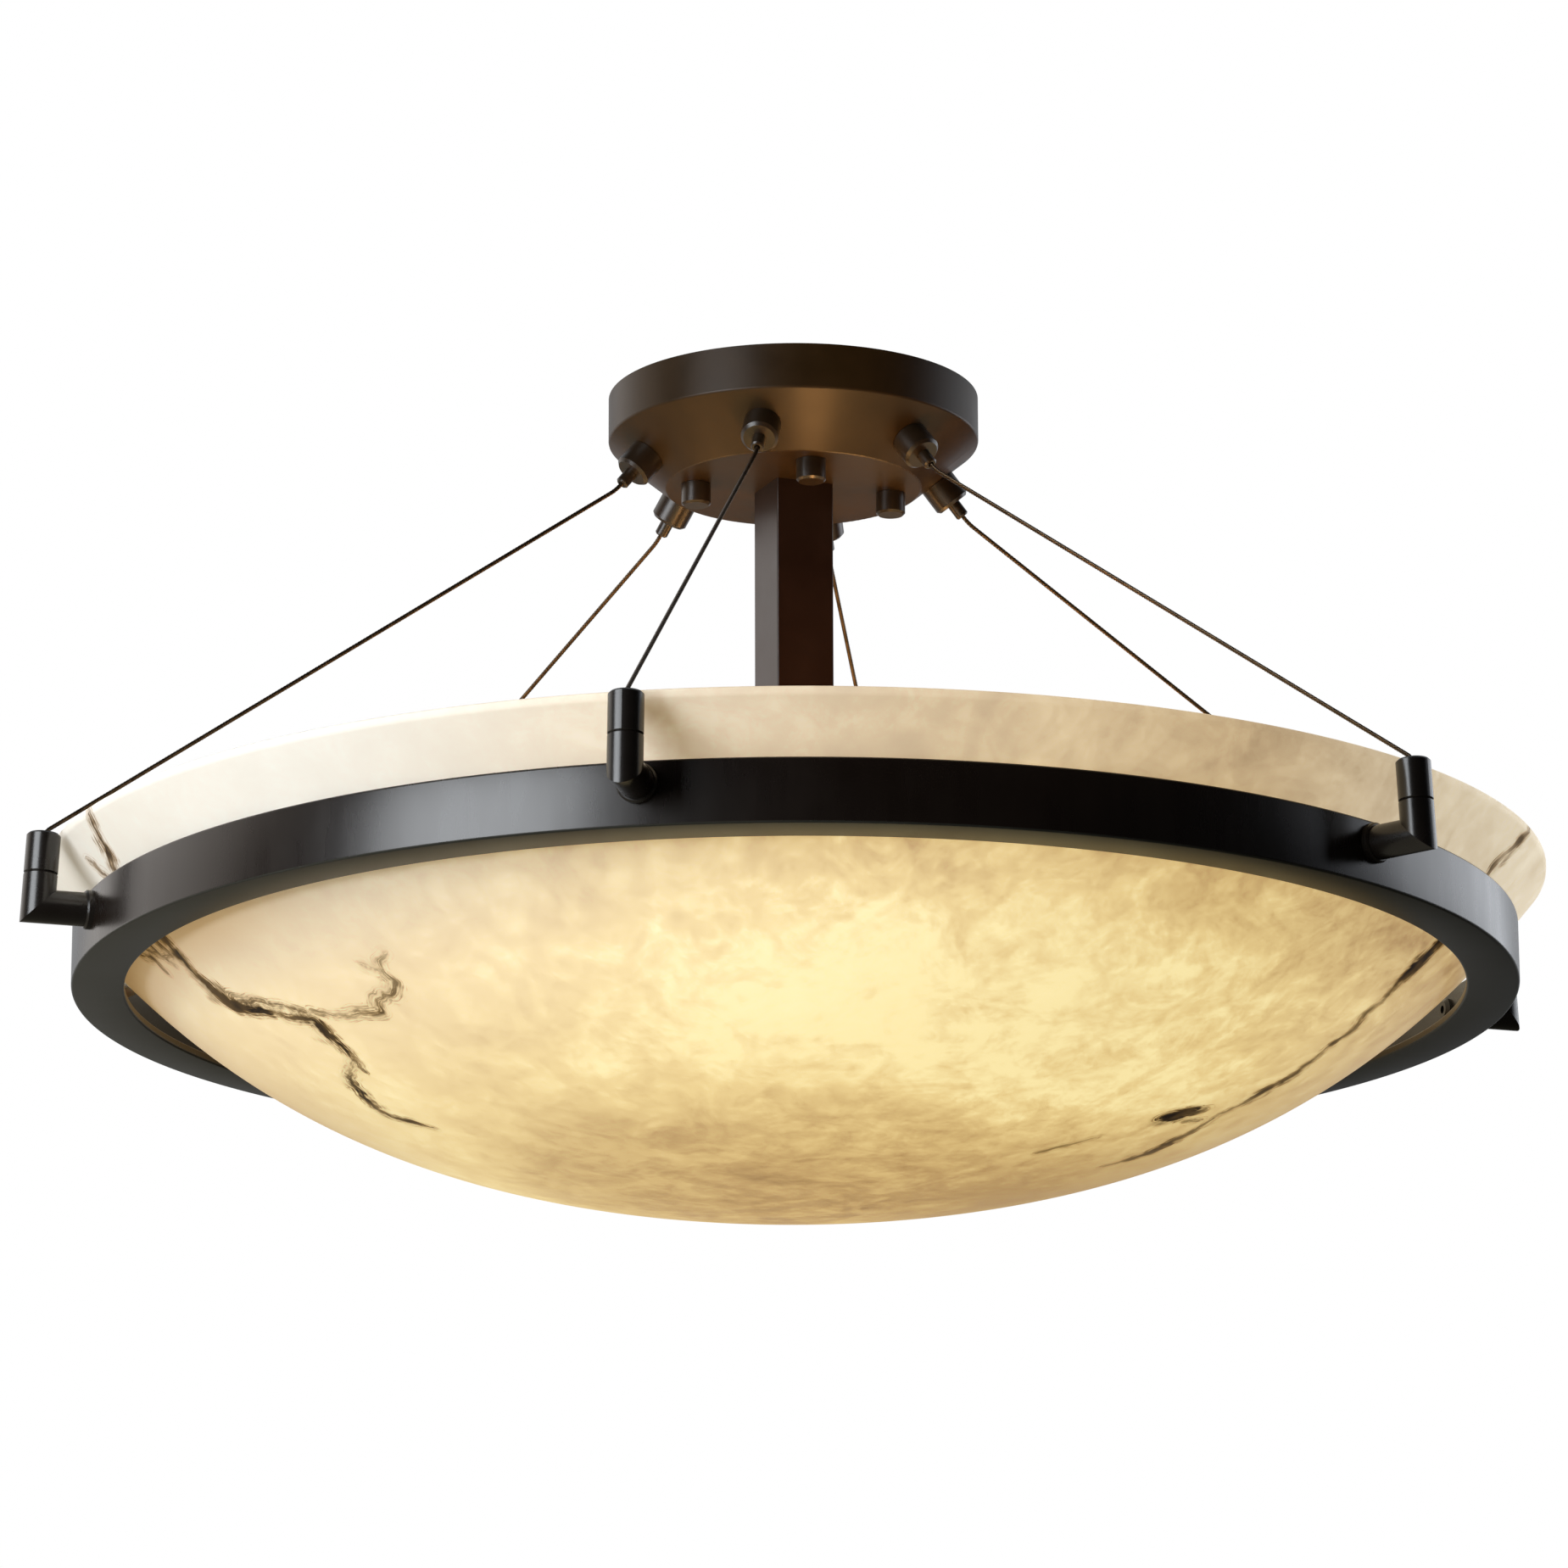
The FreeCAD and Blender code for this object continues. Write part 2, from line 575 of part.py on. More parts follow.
group("stem_plugs", [plug(-val("canopy_depth")), plug(-val("stem_bottom") + 8)])


def tube(r_out, r_in, low, high):
    return Part.makeCylinder(r_out, high - low, Vector(0, 0, low)).cut(
        Part.makeCylinder(r_in, high - low + 2, Vector(0, 0, low - 1)))


nr, nb = val("nipple_radius"), val("nipple_bore")
inner_face = -val("canopy_depth") + val("canopy_wall")
feature("stem_nipple", tube(nr, nb, -val("canopy_depth") - 8, inner_face + 9.0))
feature("stem_washer", tube(12.0, nr + 0.2, inner_face, inner_face + 1.2))
feature("stem_lock_nut", hexagon(16.0, inner_face + 1.2, inner_face + 5.2, nr + 0.03))

# ---------------------------------------------------------------- lamp cluster
top = -val("stem_bottom")
cw = val("cluster_wall")
tilt = math.radians(val("lamp_tilt"))
st, ct = math.sin(tilt), math.cos(tilt)
R = D("cluster_radius")
zt = -D("stem_bottom")
tanq = Q(st / ct)
cone_h = Q(30.0)
low_r = R - cone_h * tanq
cluster = turned("cluster_master", [
    (4.9, zt), (R - 1.5, zt), (R, zt - 1.5), (R, zt - 7), (low_r, zt - 7 - cone_h), (low_r - cw, zt - 7 - cone_h),
    (R - cw, zt - 7 - 0.3), (R - cw, zt - 2), (4.9, zt - 2)])
lamps = [val("lamp_angle") + 120 * k for k in range(3)]
# each lamp's own frame: local +Z runs outward along the lamp, square to the cluster's tapered wall
root = Placement(Vector(val("lamp_root_r"), 0, -val("lamp_root_z")), Rotation(Z, Vector(ct, 0, -st)))
lamp_seats = [azimuth(a).multiply(root) for a in lamps]
tool = doc.addObject("Part::Feature", "cluster_hole_tools")
tool.Shape = Part.makeCompound([put(Part.makeCylinder(nr + 0.03, 16, Vector(0, 0, -8)), p) for p in lamp_seats])
cut = doc.addObject("Part::Cut", "cluster_drilled")
cut.Base = cluster
cut.Tool = tool
doc.recompute()
give("cluster_body", cut)
feature("cluster_nipple", tube(nr, nb, top - 7.5, top + 8.0))
feature("cluster_lock_nut", hexagon(14.0, top - 6.0, top - 2.0, nr + 0.03))
zc = zt - 7 - cone_h
give("cluster_cap", turned("cluster_cap_body", [
    (0, zc + 2), (low_r - cw - 0.6, zc + 2), (low_r - cw - 0.6, zc), (low_r, zc), (low_r, zc - 1.2), (low_r - 1, zc - 2),
    (2.0, zc - 2), (2.0, zc - 8.5), (0, zc - 8.5)]))
kz = zc - 2.1
give("cluster_knob", turned("cluster_knob_body", [
    (2.06, kz), (5.0, kz), (5.8, kz - 1.0), (5.8, kz - 2.2), (7.0, kz - 3.6), (7.4, kz - 6.0), (6.6, kz - 8.6), (4.4, kz - 10.4),
    (0, kz - 11.0), (0, kz - 7.4), (2.06, kz - 7.4)]))

# ---------------------------------------------------------------- lamps, each along its own axis (local z)
group("lamp_arms", [put(tube(nr, nb, -6.0, 11.5), p) for p in lamp_seats])
hr = D("holder_radius")
holder = turned("holder_master", [
    (nr + 0.03, 6), (hr - 4, 6), (hr, 10), (hr, 46), (hr - 0.8, 46.8), (14.5, 46.8), (14.5, 19.5), (1.8, 19.5), (1.8, 12),
    (nr + 0.03, 12)])
group("lamp_holders", [put(holder.Shape, p) for p in lamp_seats])
group("socket_shells", [put(tube(14.2, val("shell_radius"), 20.4, 45.0), p) for p in lamp_seats])
group("socket_contacts", [put(Part.makeCylinder(4.5, 0.8, Vector(0, 0, 19.5)), p) for p in lamp_seats])
br = D("base_radius")
bulb_base = turned("bulb_base_master", [
    (0, 20.7), (4.6, 20.7), (5.2, 22.2), (11.2, 24.6), (br, 26), (br, 47), (11.9, 47), (11.9, 28), (0, 28)])
# glass envelope: neck in the base, a pear shape, thin wall
outer_pts = [(11.8, 40.0), (11.8, 47.4), (13.2, 52.0), (17.6, 64.0), (23.6, 76.0), (28.6, 88.0),
             (val("bulb_radius"), 98.0), (28.4, 110.0), (23.0, 121.0), (13.5, 128.6), (0.0, 131.5)]
glass_wall = 1.1
outs = [Vector(r, 0, z) for r, z in outer_pts]
curve_o = Part.BSplineCurve()
curve_o.interpolate(Points=outs[1:], InitialTangent=Vector(0, 0, 1), FinalTangent=Vector(-1, 0, 0))
ins = [Vector(r - glass_wall, 0, z) for r, z in outer_pts[1:-4]] + [Vector(27.4, 0, 109.4), Vector(22.2, 0, 120.0),
      Vector(13.0, 0, 127.4), Vector(0, 0, 130.4)]
curve_i = Part.BSplineCurve()
curve_i.interpolate(Points=ins, InitialTangent=Vector(0, 0, 1), FinalTangent=Vector(-1, 0, 0))
low_in = Vector(outer_pts[0][0] - glass_wall, 0, outer_pts[0][1])
g_edges = [Part.LineSegment(outs[0], outs[1]).toShape(), curve_o.toShape(), Part.LineSegment(outs[-1], ins[-1]).toShape(),
           curve_i.toShape(), Part.LineSegment(ins[0], low_in).toShape(), Part.LineSegment(low_in, outs[0]).toShape()]
glass = solid_of(Part.Face(Part.Wire(Part.__sortEdges__(g_edges))).revolve(ORIGIN, Z, 360))
for k, p in enumerate(lamp_seats, start=1):
    feature("bulb_base_%d" % k, bulb_base.Shape.copy(), p)
    feature("bulb_glass_%d" % k, glass.copy(), p)

# ---------------------------------------------------------------- wiring that the fitting holds
block_at = Vector(0, 27, 0)
block = Part.makeBox(26, 13, 12, Vector(-13, -6.5, -14))
for x in (-6.5, 6.5):
    block = block.cut(Part.makeCylinder(1.7, 5, Vector(x, 0, -15)))
    block = block.cut(put(Part.makeCylinder(1.9, 5), Placement(Vector(x, -7.5, -8), Rotation(Z, Vector(0, 1, 0)))))
feature("terminal_block", block, Placement(block_at, Rotation()))
wires = []
for x in (-1, 1):
    wires.append(swept([
        Vector(6.5 * x, 23.4, -8), Vector(6.5 * x, 16.5, -8), Vector(1.5 * x, 0, -14.5), Vector(1.5 * x, 0, top - 13)],
        [8.0, 6.0], val("wire_radius")))
group("stem_wires", wires)
splice = Part.makeCylinder(7.0, 12, Vector(0, 0, top - 25)).fuse(Part.makeCone(5.6, 7.0, 2, Vector(0, 0, top - 27)))
splice_top = top - 13
splice = splice.removeSplitter()
feature("splice_connector", splice)
lead = Part.makeCylinder(1.55, 34.5, Vector(0, 0, -15.5))
group("lamp_leads", [put(lead, p).cut(splice) for p in lamp_seats])

# ---------------------------------------------------------------- check every object, then write one file per piece
doc.recompute()
bad = []
for o in doc.Objects:
    if any(s in ("Invalid", "Error") for s in o.State):
        bad.append("%s: %s" % (o.Name, o.State))
for name, o in parts.items():
    s = o.Shape
    if s.isNull() or not s.isValid() or not s.Solids:
        bad.append("%s: bad shape" % name)
if bad:
    raise RuntimeError("; ".join(bad))
os.makedirs("parts", exist_ok=True)
for name, o in parts.items():
    o.Shape.exportStep("parts/%s.step" % name)
print("%d nodes, %d solids" % (len(parts), sum(len(o.Shape.Solids) for o in parts.values())))
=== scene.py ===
"""Look of the semi flush ceiling light: detailed meshes, materials, light and camera, all in metres in the CAD frame.

z = 0 is the ceiling and the axis is x = y = 0. Sizes in the tables below are millimetres, as on the drawing.
"""
import math
import random

import bmesh
import bpy
import numpy as np
from mathutils import Matrix, Vector


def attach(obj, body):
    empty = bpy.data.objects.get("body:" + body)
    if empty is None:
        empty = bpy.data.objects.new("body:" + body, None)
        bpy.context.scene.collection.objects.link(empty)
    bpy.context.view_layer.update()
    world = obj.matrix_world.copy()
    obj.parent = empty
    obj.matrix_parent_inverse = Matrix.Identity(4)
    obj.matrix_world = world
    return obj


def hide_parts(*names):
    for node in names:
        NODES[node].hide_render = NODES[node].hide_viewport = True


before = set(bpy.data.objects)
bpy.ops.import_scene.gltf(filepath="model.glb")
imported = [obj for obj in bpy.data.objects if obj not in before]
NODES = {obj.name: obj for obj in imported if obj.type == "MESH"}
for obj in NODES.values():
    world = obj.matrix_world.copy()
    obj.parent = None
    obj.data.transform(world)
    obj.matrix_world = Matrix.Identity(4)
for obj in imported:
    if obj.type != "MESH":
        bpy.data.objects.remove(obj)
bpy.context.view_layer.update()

MM = 0.001
BRACKETS = [-101.47 + 60 * k for k in range(6)]
LAMPS = [-73.0, 47.0, 167.0]


# ---------------------------------------------------------------- node helper
class Shade:
    """One material and the few node recipes it is made from."""

    def __init__(self, name):
        self.mat = bpy.data.materials.new(name)
        self.mat.use_nodes = True
        self.tree = self.mat.node_tree
        self.tree.nodes.clear()
        out = self.new("ShaderNodeOutputMaterial")
        self.bsdf = self.new("ShaderNodeBsdfPrincipled")
        self.tree.links.new(self.bsdf.outputs[0], out.inputs["Surface"])
        self.pos = self.new("ShaderNodeTexCoord").outputs["Object"]

    def new(self, kind, **props):
        node = self.tree.nodes.new(kind)
        for key, value in props.items():
            setattr(node, key, value)
        return node

    def feed(self, socket, value):
        if isinstance(value, bpy.types.NodeSocket):
            self.tree.links.new(value, socket)
        elif isinstance(value, (tuple, list)) and len(value) == 3 and len(socket.default_value) == 4:
            socket.default_value = (*value, 1.0)
        else:
            socket.default_value = value

    def put(self, **sockets):
        for key, value in sockets.items():
            self.feed(self.bsdf.inputs[key.replace("_", " ")], value)

    def math(self, op, a, b=0.0, c=0.0, clamp=False):
        n = self.new("ShaderNodeMath", operation=op, use_clamp=clamp)
        for socket, value in zip(n.inputs, (a, b, c)):
            self.feed(socket, value)
        return n.outputs[0]

    def add(self, a, b, clamp=False):
        return self.math("ADD", a, b, clamp=clamp)

    def times(self, a, b, clamp=False):
        return self.math("MULTIPLY", a, b, clamp=clamp)

    def noise(self, scale, detail=3.0, rough=0.5, distortion=0.0, at=None, out=0):
        n = self.new("ShaderNodeTexNoise")
        self.feed(n.inputs["Vector"], self.pos if at is None else at)
        for key, value in (("Scale", scale), ("Detail", detail), ("Roughness", rough), ("Distortion", distortion)):
            n.inputs[key].default_value = value
        return n.outputs[out]

    def cells(self, scale, feature="F1", at=None, out="Distance", randomness=1.0):
        n = self.new("ShaderNodeTexVoronoi", feature=feature)
        self.feed(n.inputs["Vector"], self.pos if at is None else at)
        n.inputs["Scale"].default_value = scale
        n.inputs["Randomness"].default_value = randomness
        return n.outputs[out]

    def span(self, value, a, b, lo=0.0, hi=1.0, smooth=True):
        n = self.new("ShaderNodeMapRange", interpolation_type="SMOOTHSTEP" if smooth else "LINEAR")
        self.feed(n.inputs[0], value)
        for i, v in zip((1, 2, 3, 4), (a, b, lo, hi)):
            self.feed(n.inputs[i], v)
        return n.outputs[0]

    def ramp(self, fac, stops):
        n = self.new("ShaderNodeValToRGB")
        self.feed(n.inputs[0], fac)
        el = n.color_ramp.elements
        while len(el) < len(stops):
            el.new(0.5)
        for e, (p, c) in zip(el, stops):
            e.position = p
            e.color = (*c, 1.0)
        return n.outputs[0]

    def mix(self, fac, a, b, blend="MIX"):
        n = self.new("ShaderNodeMix", data_type="RGBA", blend_type=blend)
        self.feed(n.inputs[0], fac)
        self.feed(n.inputs[6], a)
        self.feed(n.inputs[7], b)
        return n.outputs[2]

    def xyz(self, at=None):
        n = self.new("ShaderNodeSeparateXYZ")
        self.feed(n.inputs[0], self.pos if at is None else at)
        return n.outputs

    def stretch(self, scale):
        n = self.new("ShaderNodeMapping")
        self.feed(n.inputs["Vector"], self.pos)
        n.inputs["Scale"].default_value = scale
        return n.outputs[0]

    def reach(self, point):
        """Distance from a point given in millimetres."""
        n = self.new("ShaderNodeVectorMath", operation="DISTANCE")
        self.feed(n.inputs[0], self.pos)
        n.inputs[1].default_value = [v * MM for v in point]
        return n.outputs["Value"]

    def attribute(self, name):
        return self.new("ShaderNodeAttribute", attribute_name=name).outputs["Fac"]

    def bump(self, height, strength, distance):
        n = self.new("ShaderNodeBump")
        n.inputs["Strength"].default_value = strength
        n.inputs["Distance"].default_value = distance
        self.feed(n.inputs["Height"], height)
        self.feed(self.bsdf.inputs["Normal"], n.outputs[0])


def lamp_point(az, along):
    a, t = math.radians(az), math.radians(20)
    r = 21.8 + along * math.cos(t)
    return (r * math.cos(a), r * math.sin(a), -184.3 - along * math.sin(t))


# ------------------------------------------------------------------ materials
def dark_metal(name, low, high, rough, spread, patch=30.0, relief=0.00010, gloss=0.5, metal=0.0, streak=0.0):
    """Dark bronze under a satin lacquer: brown-black ground, soft patches in tone and gloss, faint orange peel."""
    s = Shade(name)
    patches = s.noise(patch, 3, 0.50, 0.3)
    fine = s.noise(patch * 4, 2, 0.5)
    tone = s.add(s.times(patches, 0.8), s.times(fine, 0.2))
    if streak:
        wiped = s.noise(1.0, 4, 0.6, at=s.stretch((95, 95, 14)))
        tone = s.add(s.times(tone, 1.0 - streak), s.times(wiped, streak))
    s.put(Base_Color=s.ramp(tone, [(0.28, low), (0.72, high)]))
    s.put(Roughness=s.span(tone, 0.26, 0.74, rough - spread, rough + spread, smooth=False))
    s.put(Specular_IOR_Level=gloss, Metallic=metal)
    if relief:
        s.bump(patches, 0.3, relief)
    return s.mat


def plated(name, low, high, rough, grain=(40, 40, 400)):
    s = Shade(name)
    patches = s.noise(60, 4, 0.6, 0.3)
    lines = s.noise(1.0, 3, 0.6, at=s.stretch(grain))
    s.put(Base_Color=s.ramp(s.add(s.times(patches, 0.7), s.times(lines, 0.3)), [(0.35, low), (0.65, high)]), Metallic=1.0)
    s.put(Roughness=s.span(lines, 0.3, 0.7, rough - 0.07, rough + 0.09))
    s.bump(lines, 0.25, 0.00005)
    return s.mat


def moulded(name, low, high, rough, scale=120.0, relief=0.00004, weight=0.0):
    s = Shade(name)
    n = s.noise(scale, 4, 0.6)
    fine = s.noise(scale * 10, 2, 0.5)
    s.put(Base_Color=s.ramp(n, [(0.35, low), (0.65, high)]))
    s.put(Roughness=s.span(n, 0.35, 0.65, rough - 0.06, rough + 0.06))
    s.bump(s.add(n, s.times(fine, 0.4)), 0.3, relief)
    s.put(Subsurface_Weight=weight)
    return s.mat


BRONZE = dark_metal("bronze_finish", (0.0060, 0.0034, 0.0022), (0.0110, 0.0066, 0.0044), 0.28, 0.06, patch=20.0,
                    relief=0.000008, gloss=0.58, streak=0.45)
# Ring flange underside: the same bronze, painted lighter and greyer to stand in for the light the floor throws up on
# it; also rougher and less glossy.
UNDERSIDE_PAINTED_LIGHT = dark_metal("bronze_underside_painted_light", (0.024, 0.0245, 0.0200), (0.032, 0.0325, 0.0265), 0.40, 0.015, patch=40.0,
                   relief=0.00001, gloss=0.42)
CANOPY = dark_metal("canopy_finish", (0.0205, 0.0103, 0.0028), (0.033, 0.0168, 0.0050), 0.37, 0.05, patch=38.0,
                    relief=0.00002, gloss=0.25)
STEM = dark_metal("stem_finish", (0.012, 0.0048, 0.0024), (0.018, 0.0074, 0.0038), 0.33, 0.04, patch=50.0,
                  relief=0.00002, gloss=0.42)
GLOSS = dark_metal("hardware_finish", (0.0075, 0.0055, 0.0043), (0.0105, 0.0078, 0.0062), 0.27, 0.012, patch=60.0,
                   relief=0.0, gloss=0.62)
FITTING = dark_metal("fitting_finish", (0.013, 0.0074, 0.0036), (0.023, 0.0132, 0.0060), 0.30, 0.02, patch=80.0,
                     relief=0.0, gloss=0.5)
ZINC = plated("zinc_finish", (0.36, 0.37, 0.38), (0.55, 0.56, 0.56), 0.36)
STEEL = plated("steel_finish", (0.30, 0.30, 0.30), (0.50, 0.50, 0.49), 0.30)
BRASS = plated("brass_finish", (0.50, 0.34, 0.13), (0.66, 0.47, 0.20), 0.30)
NICKEL = plated("lamp_cap_finish", (0.52, 0.50, 0.46), (0.70, 0.68, 0.63), 0.24)
BLACKWIRE = dark_metal("cable_finish", (0.035, 0.023, 0.013), (0.11, 0.070, 0.036), 0.30, 0.06, patch=260.0,
                       relief=0.00002, gloss=0.7, metal=0.85)
HOLDER = moulded("holder_finish", (0.62, 0.58, 0.50), (0.72, 0.68, 0.60), 0.50)
BLOCK = moulded("block_finish", (0.60, 0.58, 0.52), (0.70, 0.68, 0.62), 0.45)
WIRE = moulded("wire_finish", (0.02, 0.02, 0.022), (0.05, 0.05, 0.052), 0.45, scale=200.0)
SILICONE = moulded("silicone_finish", (0.50, 0.50, 0.48), (0.62, 0.62, 0.60), 0.55, weight=0.2)


def glass_finish():
    s = Shade("lamp_glass_finish")
    hot = None
    for az in LAMPS:
        near = s.span(s.reach(lamp_point(az, 92.0)), 0.012, 0.058, 1.0, 0.0)
        hot = near if hot is None else s.math("MAXIMUM", hot, near)
    frost = s.noise(260, 3, 0.6)
    s.put(Base_Color=s.ramp(frost, [(0.3, (0.86, 0.83, 0.77)), (0.7, (0.94, 0.92, 0.87))]), Roughness=0.42)
    s.put(Emission_Color=s.ramp(hot, [(0.0, (1.0, 0.60, 0.27)), (1.0, (1.0, 0.80, 0.52))]))
    s.put(Emission_Strength=s.span(hot, 0.0, 1.0, 0.7, 1.7))
    s.bump(frost, 0.2, 0.00003)
    return s.mat


def shade_with_painted_light(name, inside=False):
    """Cast resin shade: clouded cream and tan with dark veins on the outside. The lamps' glow through the resin is
    painted into its emission, and the studio's light and shade are painted into its emission and colour.
    """
    s = Shade(name)
    x, y, z = s.xyz()
    big = s.noise(11.0, 7, 0.60, 1.1)
    mid = s.noise(36.0, 7, 0.68, 1.3)
    small = s.noise(110.0, 5, 0.70, 0.5)
    feather = s.span(s.noise(24.0, 8, 0.62, 1.8), 0.44, 0.57)
    cloud = s.add(s.add(s.times(s.math("SUBTRACT", big, 0.5), 0.95), s.times(s.math("SUBTRACT", mid, 0.5), 1.05)),
                  s.add(s.times(s.math("SUBTRACT", small, 0.5), 0.75), s.times(s.math("SUBTRACT", feather, 0.5), 0.15)))
    out = s.new("ShaderNodeVectorMath", operation="LENGTH")
    flat = s.new("ShaderNodeCombineXYZ")
    s.feed(flat.inputs[0], x)
    s.feed(flat.inputs[1], y)
    s.feed(out.inputs[0], flat.outputs[0])
    # Painted key light: key_light_side marks the left side, where the key light is painted in; there and on the upper
    # band the clouding is fainter.
    key_light_side = s.span(x, 0.03, -0.20, 0.0, 1.0)
    band = s.span(z, -0.246, -0.224)
    cloud = s.times(cloud, s.times(s.math("MULTIPLY_ADD", key_light_side, -0.42, 1.0), s.math("MULTIPLY_ADD", band, -0.28, 1.0)))
    # Painted glow of the lamps through the resin: brightest in a ring part way out, dimmer at the centre and towards
    # the rim, with hot spots near each lamp.
    reach = s.math("DIVIDE", out.outputs["Value"], 0.31)
    lit = s.ramp(reach, [(0.0, (0.35,) * 3), (0.33, (0.50,) * 3), (0.42, (0.80,) * 3), (0.54, (1.0,) * 3),
                         (0.72, (0.98,) * 3), (0.80, (0.84,) * 3), (0.86, (0.65,) * 3), (0.97, (0.44,) * 3)])
    near = None
    for az, share in zip(LAMPS, (1.0, 0.55, 0.60)):
        one = s.span(s.reach(lamp_point(az, 98.0)), 0.10, 0.225, share, 0.0)
        near = one if near is None else s.math("MAXIMUM", near, one)
    level = s.add(s.times(lit, s.add(s.times(near, 0.42), 0.56)), s.times(cloud, 0.80))
    light = s.ramp(level, [(0.0, (0.25, 0.130, 0.038)), (0.25, (0.41, 0.245, 0.084)), (0.5, (0.57, 0.388, 0.145)),
                           (0.75, (0.72, 0.535, 0.220)), (1.0, (0.86, 0.715, 0.345))])
    # Painted glow: the upper band above the ring glows paler and greyer.
    light = s.mix(s.times(band, 0.55), light, s.ramp(level, [(0.0, (0.40, 0.290, 0.165)), (0.6, (0.66, 0.530, 0.345))]))
    # Painted shade on the front of the upper band.
    band_painted_shade = s.times(band, s.math("MINIMUM", s.span(x, -0.095, -0.04), s.span(x, 0.11, 0.0)))
    light = s.mix(s.times(band_painted_shade, 0.40), light, (0.25, 0.165, 0.085))
    # Painted key light: the left side glows greyish white, more so higher up.
    painted_key_light = s.times(key_light_side, s.span(z, -0.285, -0.226, 0.16, 0.88))
    light = s.mix(painted_key_light, light, s.ramp(level, [(0.0, (0.125, 0.105, 0.065)), (0.6, (0.200, 0.193, 0.168))]))
    # Painted shade: darker tan towards the silhouette on both flanks and towards the back, and beside the ring's inner
    # edge at the front left (lip); not on the upper band.
    flank_painted_shade = s.times(s.span(y, -0.09, 0.08, 0.0, 0.80), s.math("MAXIMUM", s.span(x, 0.01, 0.10), s.span(x, -0.12, -0.21)))
    lip = s.times(s.times(s.span(z, -0.270, -0.2535), s.span(y, -0.22, -0.12)), s.span(x, -0.10, -0.22, 0.15, 0.85))
    edge_painted_shade = s.times(s.math("MAXIMUM", flank_painted_shade, lip), s.math("SUBTRACT", 1.0, s.span(z, -0.242, -0.233)))
    light = s.mix(edge_painted_shade, light, (0.30, 0.172, 0.058))
    # Painted light: the right end, near the top and most on the upper band, glows paler.
    rim = s.times(s.span(x, 0.15, 0.28), s.span(z, -0.250, -0.226, 0.15, 1.0))
    light = s.mix(rim, light, s.ramp(level, [(0.0, (0.50, 0.40, 0.26)), (0.6, (0.74, 0.66, 0.50))]))
    # Base colour: painted key light makes the left paler, it grows warmer tan towards the bottom, and painted shade
    # darkens the edges as above.
    body = s.mix(s.times(painted_key_light, 0.8), s.ramp(cloud, [(0.0, (0.70, 0.62, 0.50)), (0.5, (0.84, 0.80, 0.70))]), (0.85, 0.835, 0.80))
    body = s.mix(s.span(z, -0.280, -0.333, 0.0, 0.78), body, (0.76, 0.62, 0.37))
    body = s.mix(s.times(edge_painted_shade, 0.75), body, (0.72, 0.60, 0.42))
    strength = 1.0
    if not inside:
        fibre = s.new("ShaderNodeCombineXYZ")
        s.feed(fibre.inputs[0], s.times(s.attribute("vein_run"), 0.11))
        s.feed(fibre.inputs[1], s.times(s.attribute("vein_side"), 1.05))
        brush = s.noise(1.0, 3, 0.65, 0.25, at=fibre.outputs[0])
        ragged = s.add(s.add(s.times(s.noise(120.0, 4, 0.60, 0.3), 3.4), s.times(s.noise(420.0, 2, 0.5), 0.8)),
                       s.times(brush, 12.0))
        edge = s.add(s.attribute("vein_gap"), s.math("SUBTRACT", ragged, 8.5))
        depth = s.attribute("vein_depth")
        dark = s.span(s.noise(62.0, 2, 0.5), 0.38, 0.56, 0.80, 1.0)
        core = s.times(s.times(s.span(edge, -2.4, 0.5, 1.0, 0.0), s.times(depth, depth)), dark, clamp=True)
        halo = s.times(s.span(edge, -1.1, 2.5, 0.92, 0.0), depth, clamp=True)
        light = s.mix(halo, light, (0.215, 0.112, 0.024))
        light = s.mix(core, light, (0.008, 0.004, 0.002))
        body = s.mix(halo, body, (0.145, 0.077, 0.019))
        body = s.mix(core, body, (0.014, 0.008, 0.005))
    else:
        # Inside, the painted glow is stronger.
        strength = 1.15
    # Emission carries the painted glow and the painted studio light and shade.
    s.put(Base_Color=body, Emission_Color=light, Emission_Strength=strength)
    s.put(Roughness=s.span(mid, 0.35, 0.65, 0.42, 0.54))
    s.put(Specular_IOR_Level=0.16)
    s.bump(s.add(mid, s.times(small, 0.3)), 0.12, 0.0006)
    return s.mat


SHADE = shade_with_painted_light("shade_with_painted_light")
SHADE_IN = shade_with_painted_light("shade_inside_with_painted_glow", inside=True)
LAMP_GLASS = glass_finish()

FINISH = {
    "bronze": BRONZE, "hardware": GLOSS, "zinc": ZINC, "steel": STEEL, "brass": BRASS, "block": BLOCK,
    "wire": WIRE, "cable": BLACKWIRE, "silicone": SILICONE, "holder": HOLDER, "lamp_cap": NICKEL,
    "lamp_glass": LAMP_GLASS, "shade": SHADE,
}
for node in NODES.values():
    for slot in node.material_slots:
        slot.material = FINISH[slot.material.name.split(".")[0]]
for name, node in NODES.items():
    mat = {"canopy": CANOPY, "stem": STEM, "cable_grippers": FITTING, "bracket_screws": GLOSS}.get(name)
    if name.startswith(("canopy_nut", "gripper_plunger")):
        mat = FITTING
    for slot in node.material_slots if mat else ():
        slot.material = mat


